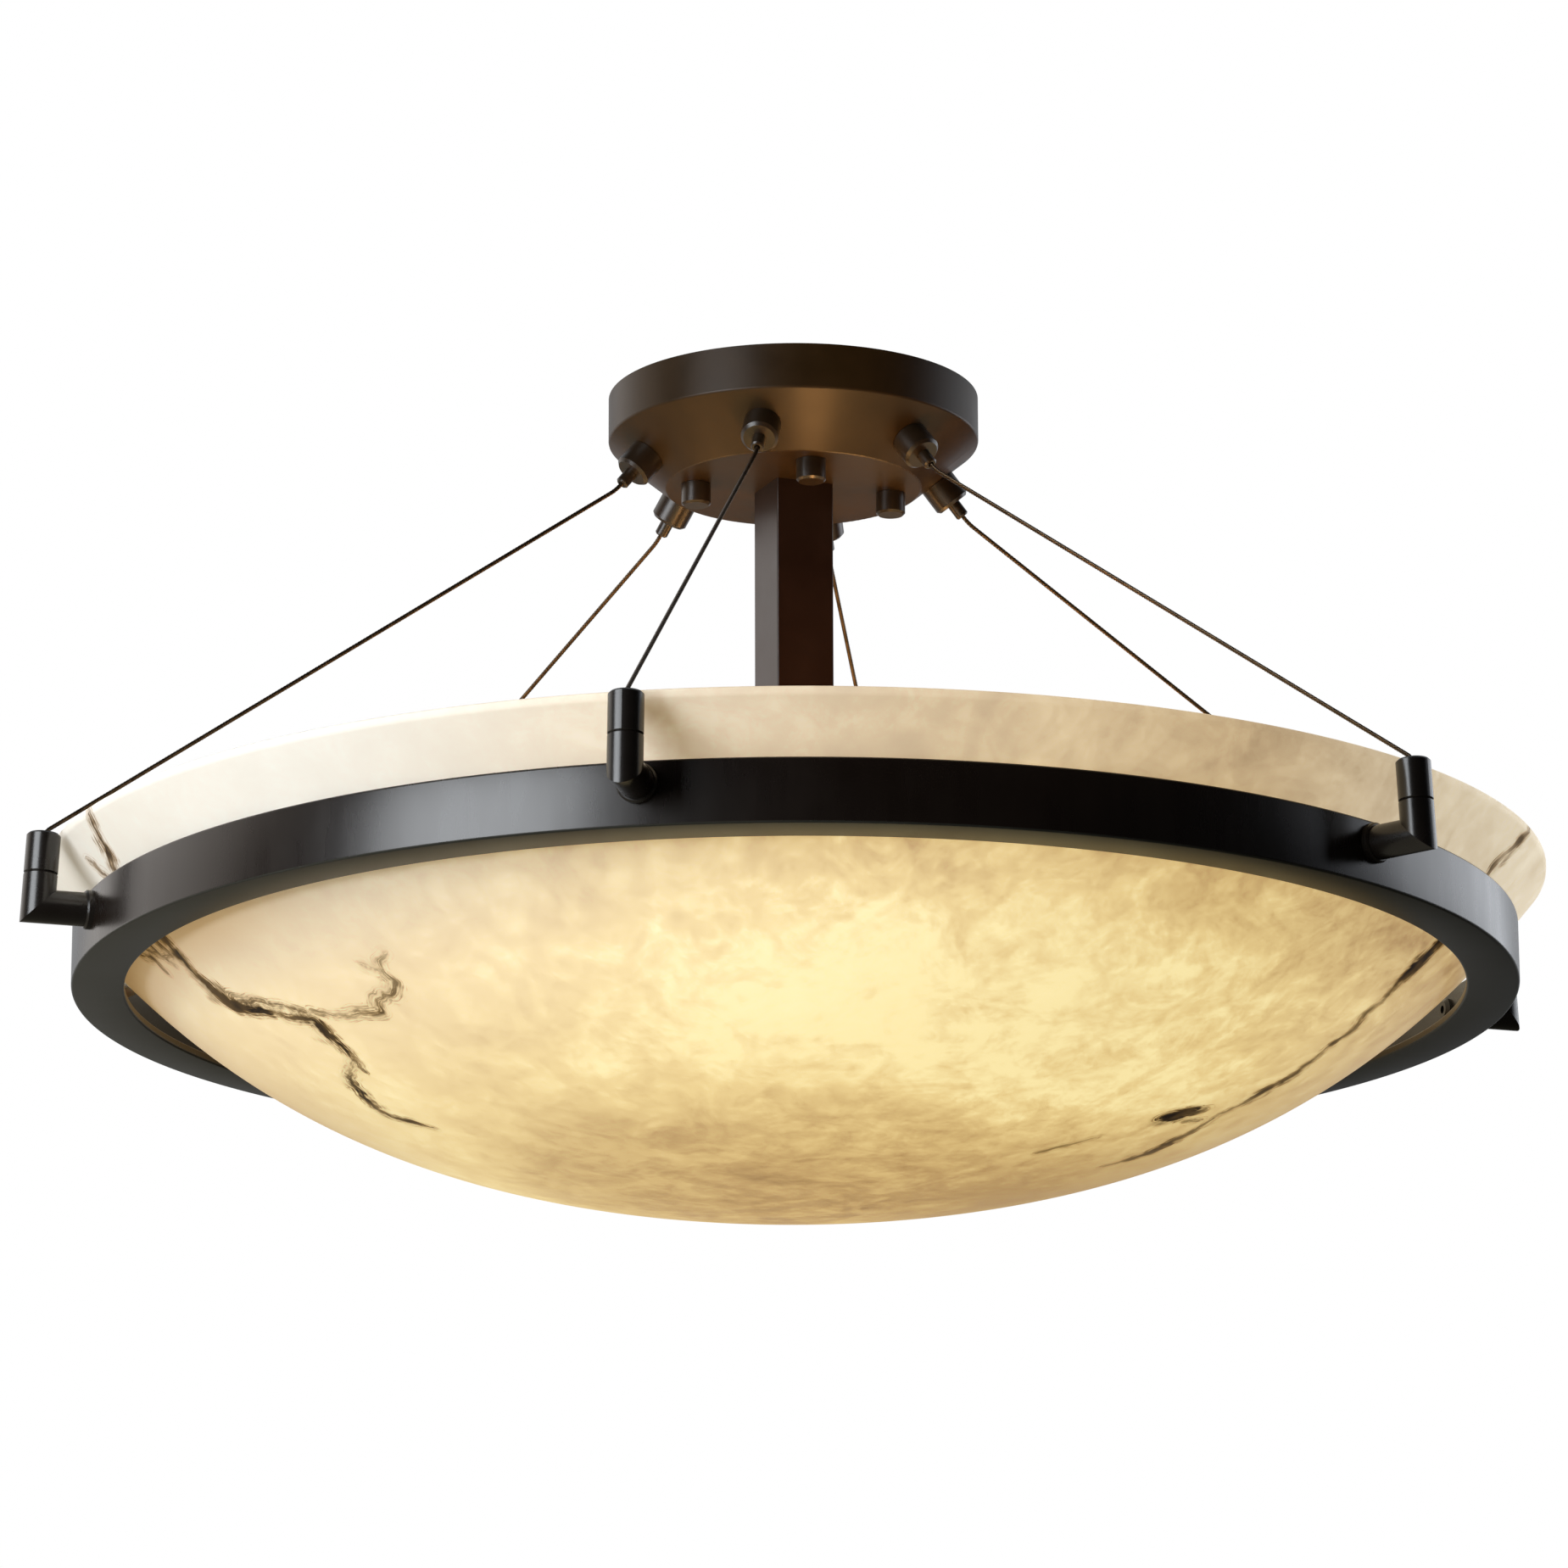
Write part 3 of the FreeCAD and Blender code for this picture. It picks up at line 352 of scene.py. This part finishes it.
# ---------------------------------------------------------------- mesh helper
def rounded(points, radii, steps=4, closed=False):
    """An outline of (r, z) points with each corner turned into an arc of its radius."""
    out = []
    n = len(points)
    for i, (p, rad) in enumerate(zip(points, radii)):
        p = Vector(p)
        if rad <= 0 or (not closed and i in (0, n - 1)):
            out.append((p.x, p.y))
            continue
        a = (Vector(points[i - 1]) - p).normalized()
        b = (Vector(points[(i + 1) % n]) - p).normalized()
        half = a.angle(b) / 2
        cut = rad / math.tan(half)
        mid = p + (a + b).normalized() * (rad / math.sin(half))
        start, end = p + a * cut - mid, p + b * cut - mid
        for j in range(steps + 1):
            t = j / steps
            d = start.slerp(end, t) if start.angle(end) > 1e-6 else start
            out.append((mid.x + d.x, mid.y + d.y))
    return out


def turn(bm, profile, seg, place=None, closed=False, start=0.0, mat=0):
    """Turn an outline of (r, z) points about the local z axis; place puts it in the frame, in millimetres."""
    place = place or Matrix.Identity(4)
    rings = []
    for r, z in profile:
        if r < 1e-6:
            rings.append([bm.verts.new((place @ Vector((0, 0, z))) * MM)])
        else:
            rings.append([bm.verts.new((place @ Vector((r * math.cos(start + 2 * math.pi * i / seg),
                                                        r * math.sin(start + 2 * math.pi * i / seg), z))) * MM)
                          for i in range(seg)])
    pairs = list(zip(rings, rings[1:])) + ([(rings[-1], rings[0])] if closed else [])
    for a, b in pairs:
        for i in range(seg):
            j = (i + 1) % seg
            loop = [a[i % len(a)], a[j % len(a)], b[j % len(b)], b[i % len(b)]]
            loop = list(dict.fromkeys(loop))
            if len(loop) > 2:
                bm.faces.new(loop).material_index = mat


def done(bm, name, mats, body, nodes, angle=32.0):
    """Close off a mesh: outward normals, smooth faces with sharp creases, finish, body and the nodes it stands for."""
    bmesh.ops.recalc_face_normals(bm, faces=bm.faces)
    mesh = bpy.data.meshes.new(name)
    bm.to_mesh(mesh)
    bm.free()
    for poly in mesh.polygons:
        poly.use_smooth = True
    mesh.set_sharp_from_angle(angle=math.radians(angle))
    for mat in mats:
        mesh.materials.append(mat)
    obj = bpy.data.objects.new(name, mesh)
    bpy.context.scene.collection.objects.link(obj)
    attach(obj, body)
    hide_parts(*nodes)
    return obj


def spin(az):
    return Matrix.Rotation(math.radians(az), 4, "Z")


# ----------------------------------------------------------------------- ring
bm = bmesh.new()
turn(bm, rounded([(289.7, -229), (289.7, -252.8), (269.5, -252.8), (269.5, -250.3), (286.7, -250.3), (286.7, -229)],
                 [0.5, 0.45, 0.5, 0.5, 1.2, 0.5], 4, closed=True), 480, closed=True)
# Flange underside faces take the bronze copy with painted light: lighter and greyer than the band.
for face in bm.faces:
    if face.calc_center_median().z < -0.2526:
        face.material_index = 1
done(bm, "ring_band", [BRONZE, UNDERSIDE_PAINTED_LIGHT], "fixture", ["ring"])


# ----------------------------------------------------------------------- bowl
CURVE = [Vector(p) for p in ((304.5, -204.5), (231.8, -295.45), (141.3, -333.25), (0.0, -333.25))]


def outside(t):
    a, b, c, d = CURVE
    return a * (1 - t) ** 3 + b * (3 * (1 - t) ** 2 * t) + c * (3 * (1 - t) * t * t) + d * t ** 3


def inward(t):
    a, b, c, d = CURVE
    v = (b - a) * (1 - t) ** 2 + (c - b) * (2 * (1 - t) * t) + (d - c) * (t * t)
    v.normalize()
    return Vector((v.y, -v.x)) if v.y < -1e-9 or v.x < 0 else Vector((0, 1))


def even(points, step):
    """The same line with points a set distance apart."""
    pts = np.array([[p[0], p[1]] for p in points])
    run = np.concatenate([[0], np.cumsum(np.hypot(*np.diff(pts, axis=0).T))])
    n = max(2, int(round(run[-1] / step)) + 1)
    s = np.linspace(0, run[-1], n)
    return [(float(np.interp(v, run, pts[:, 0])), float(np.interp(v, run, pts[:, 1]))) for v in s]


# each vein: (azimuth, radius, half width, depth of colour), on the outer face
VEINS = [
    [(-159.1, 269.0, 1.7, 1.0), (-159.5, 262.7, 1.6, 1.0), (-160.2, 251.8, 0.9, 1.0), (-160.6, 242.0, 1.4, 1.0),
     (-160.6, 234.0, 2.1, 1.0), (-156.4, 226.6, 1.0, 1.0), (-153.9, 219.7, 0.8, 0.9), (-150.2, 214.8, 1.0, 0.95),
     (-151.2, 207.9, 1.5, 1.0), (-151.6, 200.6, 1.0, 1.0), (-153.0, 192.0, 0.6, 0.9), (-154.6, 186.5, 0.5, 0.8)],
    [(-156.0, 190.5, 0.3, 0.6), (-159.3, 187.4, 0.8, 0.9), (-162.0, 180.3, 1.1, 1.0), (-166.1, 171.3, 0.8, 0.9),
     (-166.8, 163.4, 0.9, 0.95), (-165.0, 156.6, 1.3, 1.0), (-164.3, 149.4, 0.5, 0.9)],
    [(-153.4, 192.6, 0.3, 0.7), (-159.3, 187.4, 0.3, 0.6)],
    [(-148.8, 217.5, 0.5, 0.75), (-145.7, 212.0, 0.4, 0.6), (-142.1, 210.0, 0.5, 0.8), (-139.4, 208.4, 0.8, 0.95),
     (-138.3, 213.5, 0.4, 0.75), (-135.2, 215.7, 0.6, 0.8), (-133.9, 219.4, 0.5, 0.75), (-134.3, 224.6, 0.4, 0.65),
     (-133.6, 229.3, 0.4, 0.65), (-132.0, 231.5, 0.2, 0.45)],
    [(-134.3, 224.6, 0.3, 0.6), (-135.9, 229.8, 0.2, 0.45)],
    [(-167.6, 267.5, 1.0, 0.95), (-165.5, 261.3, 0.9, 0.9), (-165.7, 255.7, 0.4, 0.7)],
    [(-163.6, 268.0, 1.0, 0.95), (-163.2, 262.5, 0.8, 0.9), (-162.6, 255.0, 0.4, 0.7)],
    [(-161.6, 268.5, 1.0, 0.95), (-161.3, 262.0, 0.7, 0.9), (-160.9, 254.0, 0.5, 0.75)],
    [(-165.6, 268.0, 0.7, 0.9), (-164.2, 262.0, 0.6, 0.85), (-161.8, 258.0, 0.5, 0.8), (-160.2, 256.0, 0.4, 0.7)],
    [(-158.4, 233.0, 0.6, 0.85), (-155.2, 230.2, 0.5, 0.8), (-152.6, 225.0, 0.5, 0.8), (-150.2, 219.0, 0.5, 0.85)],
    [(-154.7, 302.0, 0.5, 0.85), (-155.5, 296.4, 0.9, 0.95), (-156.3, 290.4, 1.0, 0.95), (-157.3, 286.9, 0.9, 0.9),
     (-158.4, 281.5, 0.8, 0.9), (-159.0, 275.0, 0.9, 0.9), (-159.1, 269.0, 0.9, 0.9)],
    [(-160.4, 291.9, 0.5, 0.75), (-159.5, 287.4, 0.6, 0.8), (-158.6, 281.5, 0.4, 0.6)],
    [(-18.9, 281.5, 0.8, 0.9), (-17.6, 271.0, 1.3, 1.0), (-16.8, 263.6, 1.9, 1.0), (-16.6, 253.3, 2.1, 1.0),
     (-16.5, 246.0, 1.1, 1.0), (-15.0, 238.9, 0.6, 0.8), (-15.4, 232.3, 1.0, 0.9), (-13.1, 226.2, 0.7, 0.8),
     (-13.4, 217.9, 1.0, 0.9), (-12.2, 210.3, 0.6, 0.8), (-10.8, 201.2, 1.1, 0.9), (-10.7, 191.2, 1.4, 0.95),
     (-9.6, 180.9, 0.8, 0.8), (-8.9, 168.1, 0.5, 0.7), (-5.1, 158.9, 0.9, 0.8), (-3.1, 150.4, 1.5, 0.9),
     (0.5, 142.1, 1.5, 0.9), (1.4, 133.7, 1.3, 0.85), (2.1, 123.9, 0.5, 0.6)],
    [(-19.2, 153.6, 1.6, 1.0), (-17.6, 157.0, 2.6, 1.0), (-16.4, 161.6, 2.1, 1.0), (-14.6, 165.8, 1.0, 0.85)],
    [(-12.6, 158.0, 0.8, 0.7), (-10.2, 162.5, 0.6, 0.65)],
    [(-24.0, 104.7, 0.6, 0.6), (-23.7, 113.4, 0.8, 0.7), (-21.9, 126.7, 0.3, 0.5)],
    [(-18.2, 302.0, 0.7, 0.75), (-18.5, 298.5, 1.2, 0.9), (-19.3, 293.6, 0.4, 0.6), (-19.8, 289.3, 0.9, 0.85),
     (-19.4, 285.0, 0.8, 0.85), (-18.9, 281.5, 0.8, 0.9)],
    [(96.0, 268.0, 0.9, 0.9), (93.5, 259.0, 1.3, 1.0), (95.0, 247.0, 0.7, 0.9), (90.5, 236.0, 1.1, 1.0),
     (88.0, 222.0, 0.6, 0.8), (90.0, 208.0, 0.9, 0.9), (84.0, 196.0, 0.5, 0.7), (81.0, 180.0, 0.3, 0.5)],
    [(90.5, 236.0, 0.5, 0.8), (84.5, 233.0, 0.8, 0.9), (80.5, 239.0, 0.5, 0.8), (76.5, 235.0, 0.3, 0.6)],
]


def vein_lines():
    """The veins as many short pieces: a jagged main line with fine side hairs, from a fixed seed."""
    rnd = random.Random(41)
    ts = np.linspace(0, 1, 1200)
    prof = np.array([outside(float(t)) for t in ts])

    def at(az, r):
        return np.array([r * math.cos(math.radians(az)), r * math.sin(math.radians(az)),
                         float(np.interp(r, prof[::-1, 0], prof[::-1, 1]))])

    def on(p):
        return np.array([p[0], p[1], float(np.interp(math.hypot(p[0], p[1]), prof[::-1, 0], prof[::-1, 1]))])

    runs, mains = [], []
    for vein in VEINS:
        pts = [(at(a, r), w * 2.5, d) for a, r, w, d in vein]
        line = [pts[0]]
        for (p, w, d), (q, w2, d2) in zip(pts, pts[1:]):
            n = max(2, int(np.linalg.norm(q - p) / 2.6))
            for i in range(1, n + 1):
                t = i / n
                off = np.array([rnd.uniform(-1, 1) for _ in range(3)]) * (0.75 if i < n else 0.2)
                line.append((on(p + (q - p) * t + off), (w + (w2 - w) * t) * rnd.uniform(0.6, 1.25), d + (d2 - d) * t))
        mains.append(len(runs))
        runs.append(line)
        for _ in range(5):
            shift = np.array([rnd.uniform(-1, 1) for _ in range(3)])
            strand = []
            for p, w, d in line:
                shift = shift * 0.85 + np.array([rnd.uniform(-1, 1) for _ in range(3)]) * 0.8
                if rnd.random() < 0.16:
                    if len(strand) > 1:
                        runs.append(strand)
                    strand = []
                strand.append((on(p + shift * (0.5 + 0.75 * w)), w * 0.26, d * rnd.uniform(0.35, 0.85)))
            if len(strand) > 1:
                runs.append(strand)
        for p, w, d in line[1:-1]:
            if rnd.random() < 0.22:
                along = rnd.choice(line)[0] - p
                reach = np.linalg.norm(along)
                if reach < 1e-6:
                    continue
                side = np.array([rnd.uniform(-1, 1) for _ in range(3)])
                step = along / reach * rnd.uniform(1.8, 3.2) + side * rnd.uniform(0.4, 1.0)
                hair = [(p, w * 0.5, d * 0.8)]
                for i in range(rnd.randint(2, 4)):
                    bend = np.array([rnd.uniform(-1, 1) for _ in range(3)]) * 0.8
                    hair.append((on(hair[-1][0] + step + bend), w * 0.32 / (i + 1), d * 0.75 / (1 + 0.5 * i)))
                runs.append(hair)
    return runs, mains


def vein_fields(points):
    """For each surface point (n, 3) in millimetres: gap to the nearest vein's edge, that vein's depth of colour, and
    the place along and beside the nearest main vein."""
    gap = np.full(len(points), 12.0)
    depth = np.zeros(len(points))
    run, side, away = np.zeros(len(points)), np.zeros(len(points)), np.full(len(points), 40.0)
    runs, mains = vein_lines()
    for index, line in enumerate(runs):
        total = 50.0 * index
        mid = np.mean([p for p, _, _ in line], axis=0)
        span = max(np.linalg.norm(p - mid) for p, _, _ in line) + 14
        close = np.where(np.linalg.norm(points - mid, axis=1) < span)[0]
        if not len(close):
            continue
        pts = points[close]
        for (p, w, d), (q, w2, d2) in zip(line, line[1:]):
            v = q - p
            t = np.clip((pts - p) @ v / max(float(v @ v), 1e-9), 0, 1)
            g = np.linalg.norm(pts - (p + t[:, None] * v), axis=1) - (w + (w2 - w) * t)
            better = g < gap[close]
            gap[close[better]] = g[better]
            depth[close[better]] = (d + (d2 - d) * t)[better]
            if index in mains:
                length = float(np.linalg.norm(v))
                off = pts - (p + t[:, None] * v)
                far = np.linalg.norm(off, axis=1)
                best = far < away[close]
                away[close[best]] = far[best]
                run[close[best]] = (total + t * length)[best]
                side[close[best]] = (far * np.sign(off @ np.cross(v, p)))[best]
                total += length
    return gap, depth, run, side


def build_bowl():
    lines = [outside(i / 400) for i in range(401)]
    wall = [outside(i / 400) + inward(i / 400) * 6.0 for i in range(401)]
    lip = 304.5 - 6.0 / abs(inward(0.0).x)
    wall = [Vector((lip, -204.5))] + [p for p in wall if p.y < -205.0]
    rim = rounded([tuple(lines[30]), (304.5, -204.5), (lip, -204.5), tuple(wall[30])], [0, 1.6, 1.6, 0], 5)[1:-1]
    outer = [tuple(p) for p in lines if p.y < rim[0][1] - 0.3]
    inner = [tuple(p) for p in wall[1:] if p.y < rim[-1][1] - 0.3]
    outer = even([rim[0]] + outer, 1.4)
    inner = even([rim[-1]] + inner, 5.5)
    az = []
    a = -180.0
    while a < 180.0 - 1e-6:
        az.append(a)
        fine = -170.5 < a < -129.5 or -26.5 < a < 5.0
        some = 74.0 < a < 99.0
        a += 0.34 if fine else 0.5 if some else 1.25
    if 180.0 - az[-1] < 0.5:
        az.pop()
    rows = [p for p in reversed(outer)] + rim[1:-1] + inner
    rows[0] = (0.0, rows[0][1])
    rows[-1] = (0.0, rows[-1][1])
    n_out = len(outer) + len(rim) // 2
    bm = bmesh.new()
    rings = []
    for r, z in rows:
        if r < 1e-6:
            rings.append([bm.verts.new((0, 0, z * MM))])
        else:
            rings.append([bm.verts.new((r * math.cos(math.radians(a)) * MM, r * math.sin(math.radians(a)) * MM, z * MM))
                          for a in az])
    n = len(az)
    for k, (p, q) in enumerate(zip(rings, rings[1:])):
        for i in range(n):
            j = (i + 1) % n
            loop = list(dict.fromkeys([p[i % len(p)], p[j % len(p)], q[j % len(q)], q[i % len(q)]]))
            bm.faces.new(loop).material_index = 0 if k < n_out else 1
    obj = done(bm, "bowl_shade", [SHADE, SHADE_IN], "bowl", ["bowl"], angle=50)
    mesh = obj.data
    co = np.zeros(len(mesh.vertices) * 3)
    mesh.vertices.foreach_get("co", co)
    fields = vein_fields(co.reshape(-1, 3) * 1000.0)
    for name, data in zip(("vein_gap", "vein_depth", "vein_run", "vein_side"), fields):
        layer = mesh.attributes.new(name, "FLOAT", "POINT")
        layer.data.foreach_set("value", data.astype(np.float32))
    return obj


bowl = build_bowl()


# --------------------------------------------------------------------- cables
def cable_line():
    """Points along one cable in its radial plane (r, z), read from its spline: straight out of the gripper, straight
    down to the bracket, and into its cap."""
    slope = Vector((309.38 - 76.18, 0, -207.35 + 45.50)).normalized()
    top, turn_in, turn_out = Vector((50.06, 0, -13.89)), Vector((76.18, 0, -45.50)), Vector((309.38, 0, -207.35))
    foot = Vector((309.96, 0, -217.41))
    away = (turn_in - top).normalized()
    down = (foot - turn_out).normalized()
    route = [top, turn_in - away * 6, turn_in, turn_in + slope * 6, turn_out - slope * 6, turn_out,
             turn_out + down * 6, foot]
    curve = bpy.data.curves.new("cable_route", "CURVE")
    curve.dimensions = "3D"
    spline = curve.splines.new("NURBS")
    spline.points.add(len(route) - 1)
    for point, p in zip(spline.points, route):
        point.co = (*p, 1.0)
    spline.order_u = 3
    spline.use_endpoint_u = True
    spline.resolution_u = 24
    obj = bpy.data.objects.new("cable_route", curve)
    bpy.context.scene.collection.objects.link(obj)
    bpy.context.view_layer.update()
    mesh = bpy.data.meshes.new_from_object(obj)
    pts = [Vector((v.co.x, v.co.z)) for v in mesh.vertices]
    bpy.data.objects.remove(obj)
    bpy.data.curves.remove(curve)
    bpy.data.meshes.remove(mesh)
    return pts


LINE = even(cable_line(), 0.85)


def build_cable(k, az):
    """A laid wire rope: six strands round a core, right hand lay."""
    bm = bmesh.new()
    rot = spin(az)
    pts = [Vector((r, 0, z)) for r, z in LINE]
    run, rings = 0.0, []
    lobes, per = 6, 4
    for i, p in enumerate(pts):
        tan = (pts[min(i + 1, len(pts) - 1)] - pts[max(i - 1, 0)]).normalized()
        side = Vector((0, 1, 0))
        up = side.cross(tan)
        if i:
            run += (p - pts[i - 1]).length
        lay = run / 8.5 * 2 * math.pi + k
        ring = []
        for j in range(lobes * per):
            u = 2 * math.pi * j / (lobes * per)
            bulge = 0.68 + 0.215 * abs(math.cos(lobes * u / 2)) ** 0.75
            d = side * math.cos(u + lay) + up * math.sin(u + lay)
            ring.append(bm.verts.new((rot @ (p + d * bulge)) * MM))
        rings.append(ring)
    n = lobes * per
    for a, b in zip(rings, rings[1:]):
        for i in range(n):
            bm.faces.new((a[i], a[(i + 1) % n], b[(i + 1) % n], b[i]))
    bm.faces.new(rings[0])
    bm.faces.new(rings[-1])
    done(bm, f"cable_rope_{k + 1}", [BLACKWIRE], "fixture", [f"cable_{k + 1}"], angle=60)


for k, az in enumerate(BRACKETS):
    build_cable(k, az)


# ----------------------------------------------------------- light and camera
def panel(name, left, lift, far, width, height, radiance, colour, aim=(0, 0, -0.17)):
    """A soft panel light, left degrees to the left of the camera's side, lift degrees up."""
    a, e = math.radians(left), math.radians(lift)
    light = bpy.data.lights.new(name, "AREA")
    light.shape = "RECTANGLE"
    light.size, light.size_y = width, height
    light.energy = radiance * math.pi * width * height
    light.color = colour
    obj = bpy.data.objects.new(name, light)
    obj.location = Vector((-math.sin(a) * math.cos(e), -math.cos(a) * math.cos(e), math.sin(e))) * far + Vector(aim)
    obj.rotation_euler = (Vector(aim) - obj.location).to_track_quat("-Z", "Y").to_euler()
    obj.visible_camera = False
    bpy.context.scene.collection.objects.link(obj)
    return obj


panel("panel_left", 44.0, 4, 1.3, 0.72, 0.80, 8.2, (0.92, 0.96, 1.0), aim=(0, 0, -0.20))
panel("panel_far_left", 117, 12, 2.5, 2.4, 2.0, 0.80, (1.0, 0.90, 0.80))
panel("panel_right", -117, 10, 1.25, 0.95, 0.40, 1.85, (0.90, 0.94, 1.0), aim=(0, 0, -0.16))
panel("panel_side_right", -95, 12, 1.8, 0.9, 0.60, 0.62, (0.88, 0.92, 1.0), aim=(0, 0, -0.16))

for az, share in zip(LAMPS, (1.35, 1.50, 0.8)):
    light = bpy.data.lights.new("lamp_glow", "AREA")
    light.shape = "DISK"
    light.size = 0.05
    light.color = (1.0, 0.46, 0.13)
    light.energy = share * 16.0 * math.pi * math.pi * 0.025 ** 2
    obj = bpy.data.objects.new("lamp_glow", light)
    x, y, z = lamp_point(az, 80.0)
    obj.location = (x * MM, y * MM, -0.176)
    obj.rotation_euler = (math.pi, 0, 0)
    obj.visible_camera = False
    bpy.context.scene.collection.objects.link(obj)

world = bpy.data.worlds.new("studio")
bpy.context.scene.world = world
world.use_nodes = True
tree = world.node_tree
tree.nodes.clear()
out = tree.nodes.new("ShaderNodeOutputWorld")
pick = tree.nodes.new("ShaderNodeMixShader")
seen = tree.nodes.new("ShaderNodeBackground")
seen.inputs[0].default_value = (1, 1, 1, 1)
soft = tree.nodes.new("ShaderNodeBackground")
soft.inputs[0].default_value = (0.93, 0.96, 1.0, 1)
coord = tree.nodes.new("ShaderNodeTexCoord")
split = tree.nodes.new("ShaderNodeSeparateXYZ")
back = tree.nodes.new("ShaderNodeMapRange")
back.interpolation_type = "SMOOTHSTEP"
for i, v in zip((1, 2, 3, 4), (0.0, 0.6, 0.012, 0.55)):
    back.inputs[i].default_value = v
path = tree.nodes.new("ShaderNodeLightPath")
for a, b in ((coord.outputs["Generated"], split.inputs[0]), (split.outputs[1], back.inputs[0]),
             (back.outputs[0], soft.inputs[1]), (path.outputs["Is Camera Ray"], pick.inputs[0]),
             (soft.outputs[0], pick.inputs[1]), (seen.outputs[0], pick.inputs[2]), (pick.outputs[0], out.inputs[0])):
    tree.links.new(a, b)

bm = bmesh.new()
bmesh.ops.create_circle(bm, cap_ends=True, segments=64, radius=24.0)
mesh = bpy.data.meshes.new("floor")
bm.to_mesh(mesh)
bm.free()
floor = bpy.data.objects.new("floor", mesh)
floor.location = (0, 0, -4.0)
bpy.context.scene.collection.objects.link(floor)
mat = bpy.data.materials.new("floor")
mat.use_nodes = True
tree = mat.node_tree
tree.nodes.clear()
out = tree.nodes.new("ShaderNodeOutputMaterial")
pick = tree.nodes.new("ShaderNodeMixShader")
seen = tree.nodes.new("ShaderNodeEmission")
seen.inputs[0].default_value = (0.93, 0.93, 0.92, 1)
dim = tree.nodes.new("ShaderNodeEmission")
dim.inputs[0].default_value = (1.0, 0.93, 0.72, 1)
place = tree.nodes.new("ShaderNodeTexCoord")
part = tree.nodes.new("ShaderNodeSeparateXYZ")
fall = tree.nodes.new("ShaderNodeMapRange")
for i, v in zip((1, 2, 3, 4), (-1.55, 1.4, 0.265, 0.031)):
    fall.inputs[i].default_value = v
tree.links.new(place.outputs["Object"], part.inputs[0])
tree.links.new(part.outputs[0], fall.inputs[0])
tree.links.new(fall.outputs[0], dim.inputs[1])
path = tree.nodes.new("ShaderNodeLightPath")
for a, b in ((path.outputs["Is Camera Ray"], pick.inputs[0]), (dim.outputs[0], pick.inputs[1]),
             (seen.outputs[0], pick.inputs[2]), (pick.outputs[0], out.inputs[0])):
    tree.links.new(a, b)
mesh.materials.append(mat)

pitch, yaw, roll = math.radians(14.68), math.radians(0.04), math.radians(-0.18)
ahead = Vector((math.sin(yaw) * math.cos(pitch), math.cos(yaw) * math.cos(pitch), math.sin(pitch)))
right = Vector((math.cos(yaw), -math.sin(yaw), 0))
above = right.cross(ahead)
side = right * math.cos(roll) + above * math.sin(roll)
above = above * math.cos(roll) - right * math.sin(roll)
data = bpy.data.cameras.new("camera")
data.lens, data.sensor_width = 159.1, 36.0
data.clip_start, data.clip_end = 0.05, 60.0
camera = bpy.data.objects.new("camera", data)
camera.matrix_world = Matrix((
    (side.x, above.x, -ahead.x, -0.0062),
    (side.y, above.y, -ahead.y, -2.7208),
    (side.z, above.z, -ahead.z, -0.8758),
    (0, 0, 0, 1)))
bpy.context.scene.collection.objects.link(camera)
bpy.context.scene.camera = camera
bpy.context.scene.view_settings.view_transform = "Standard"
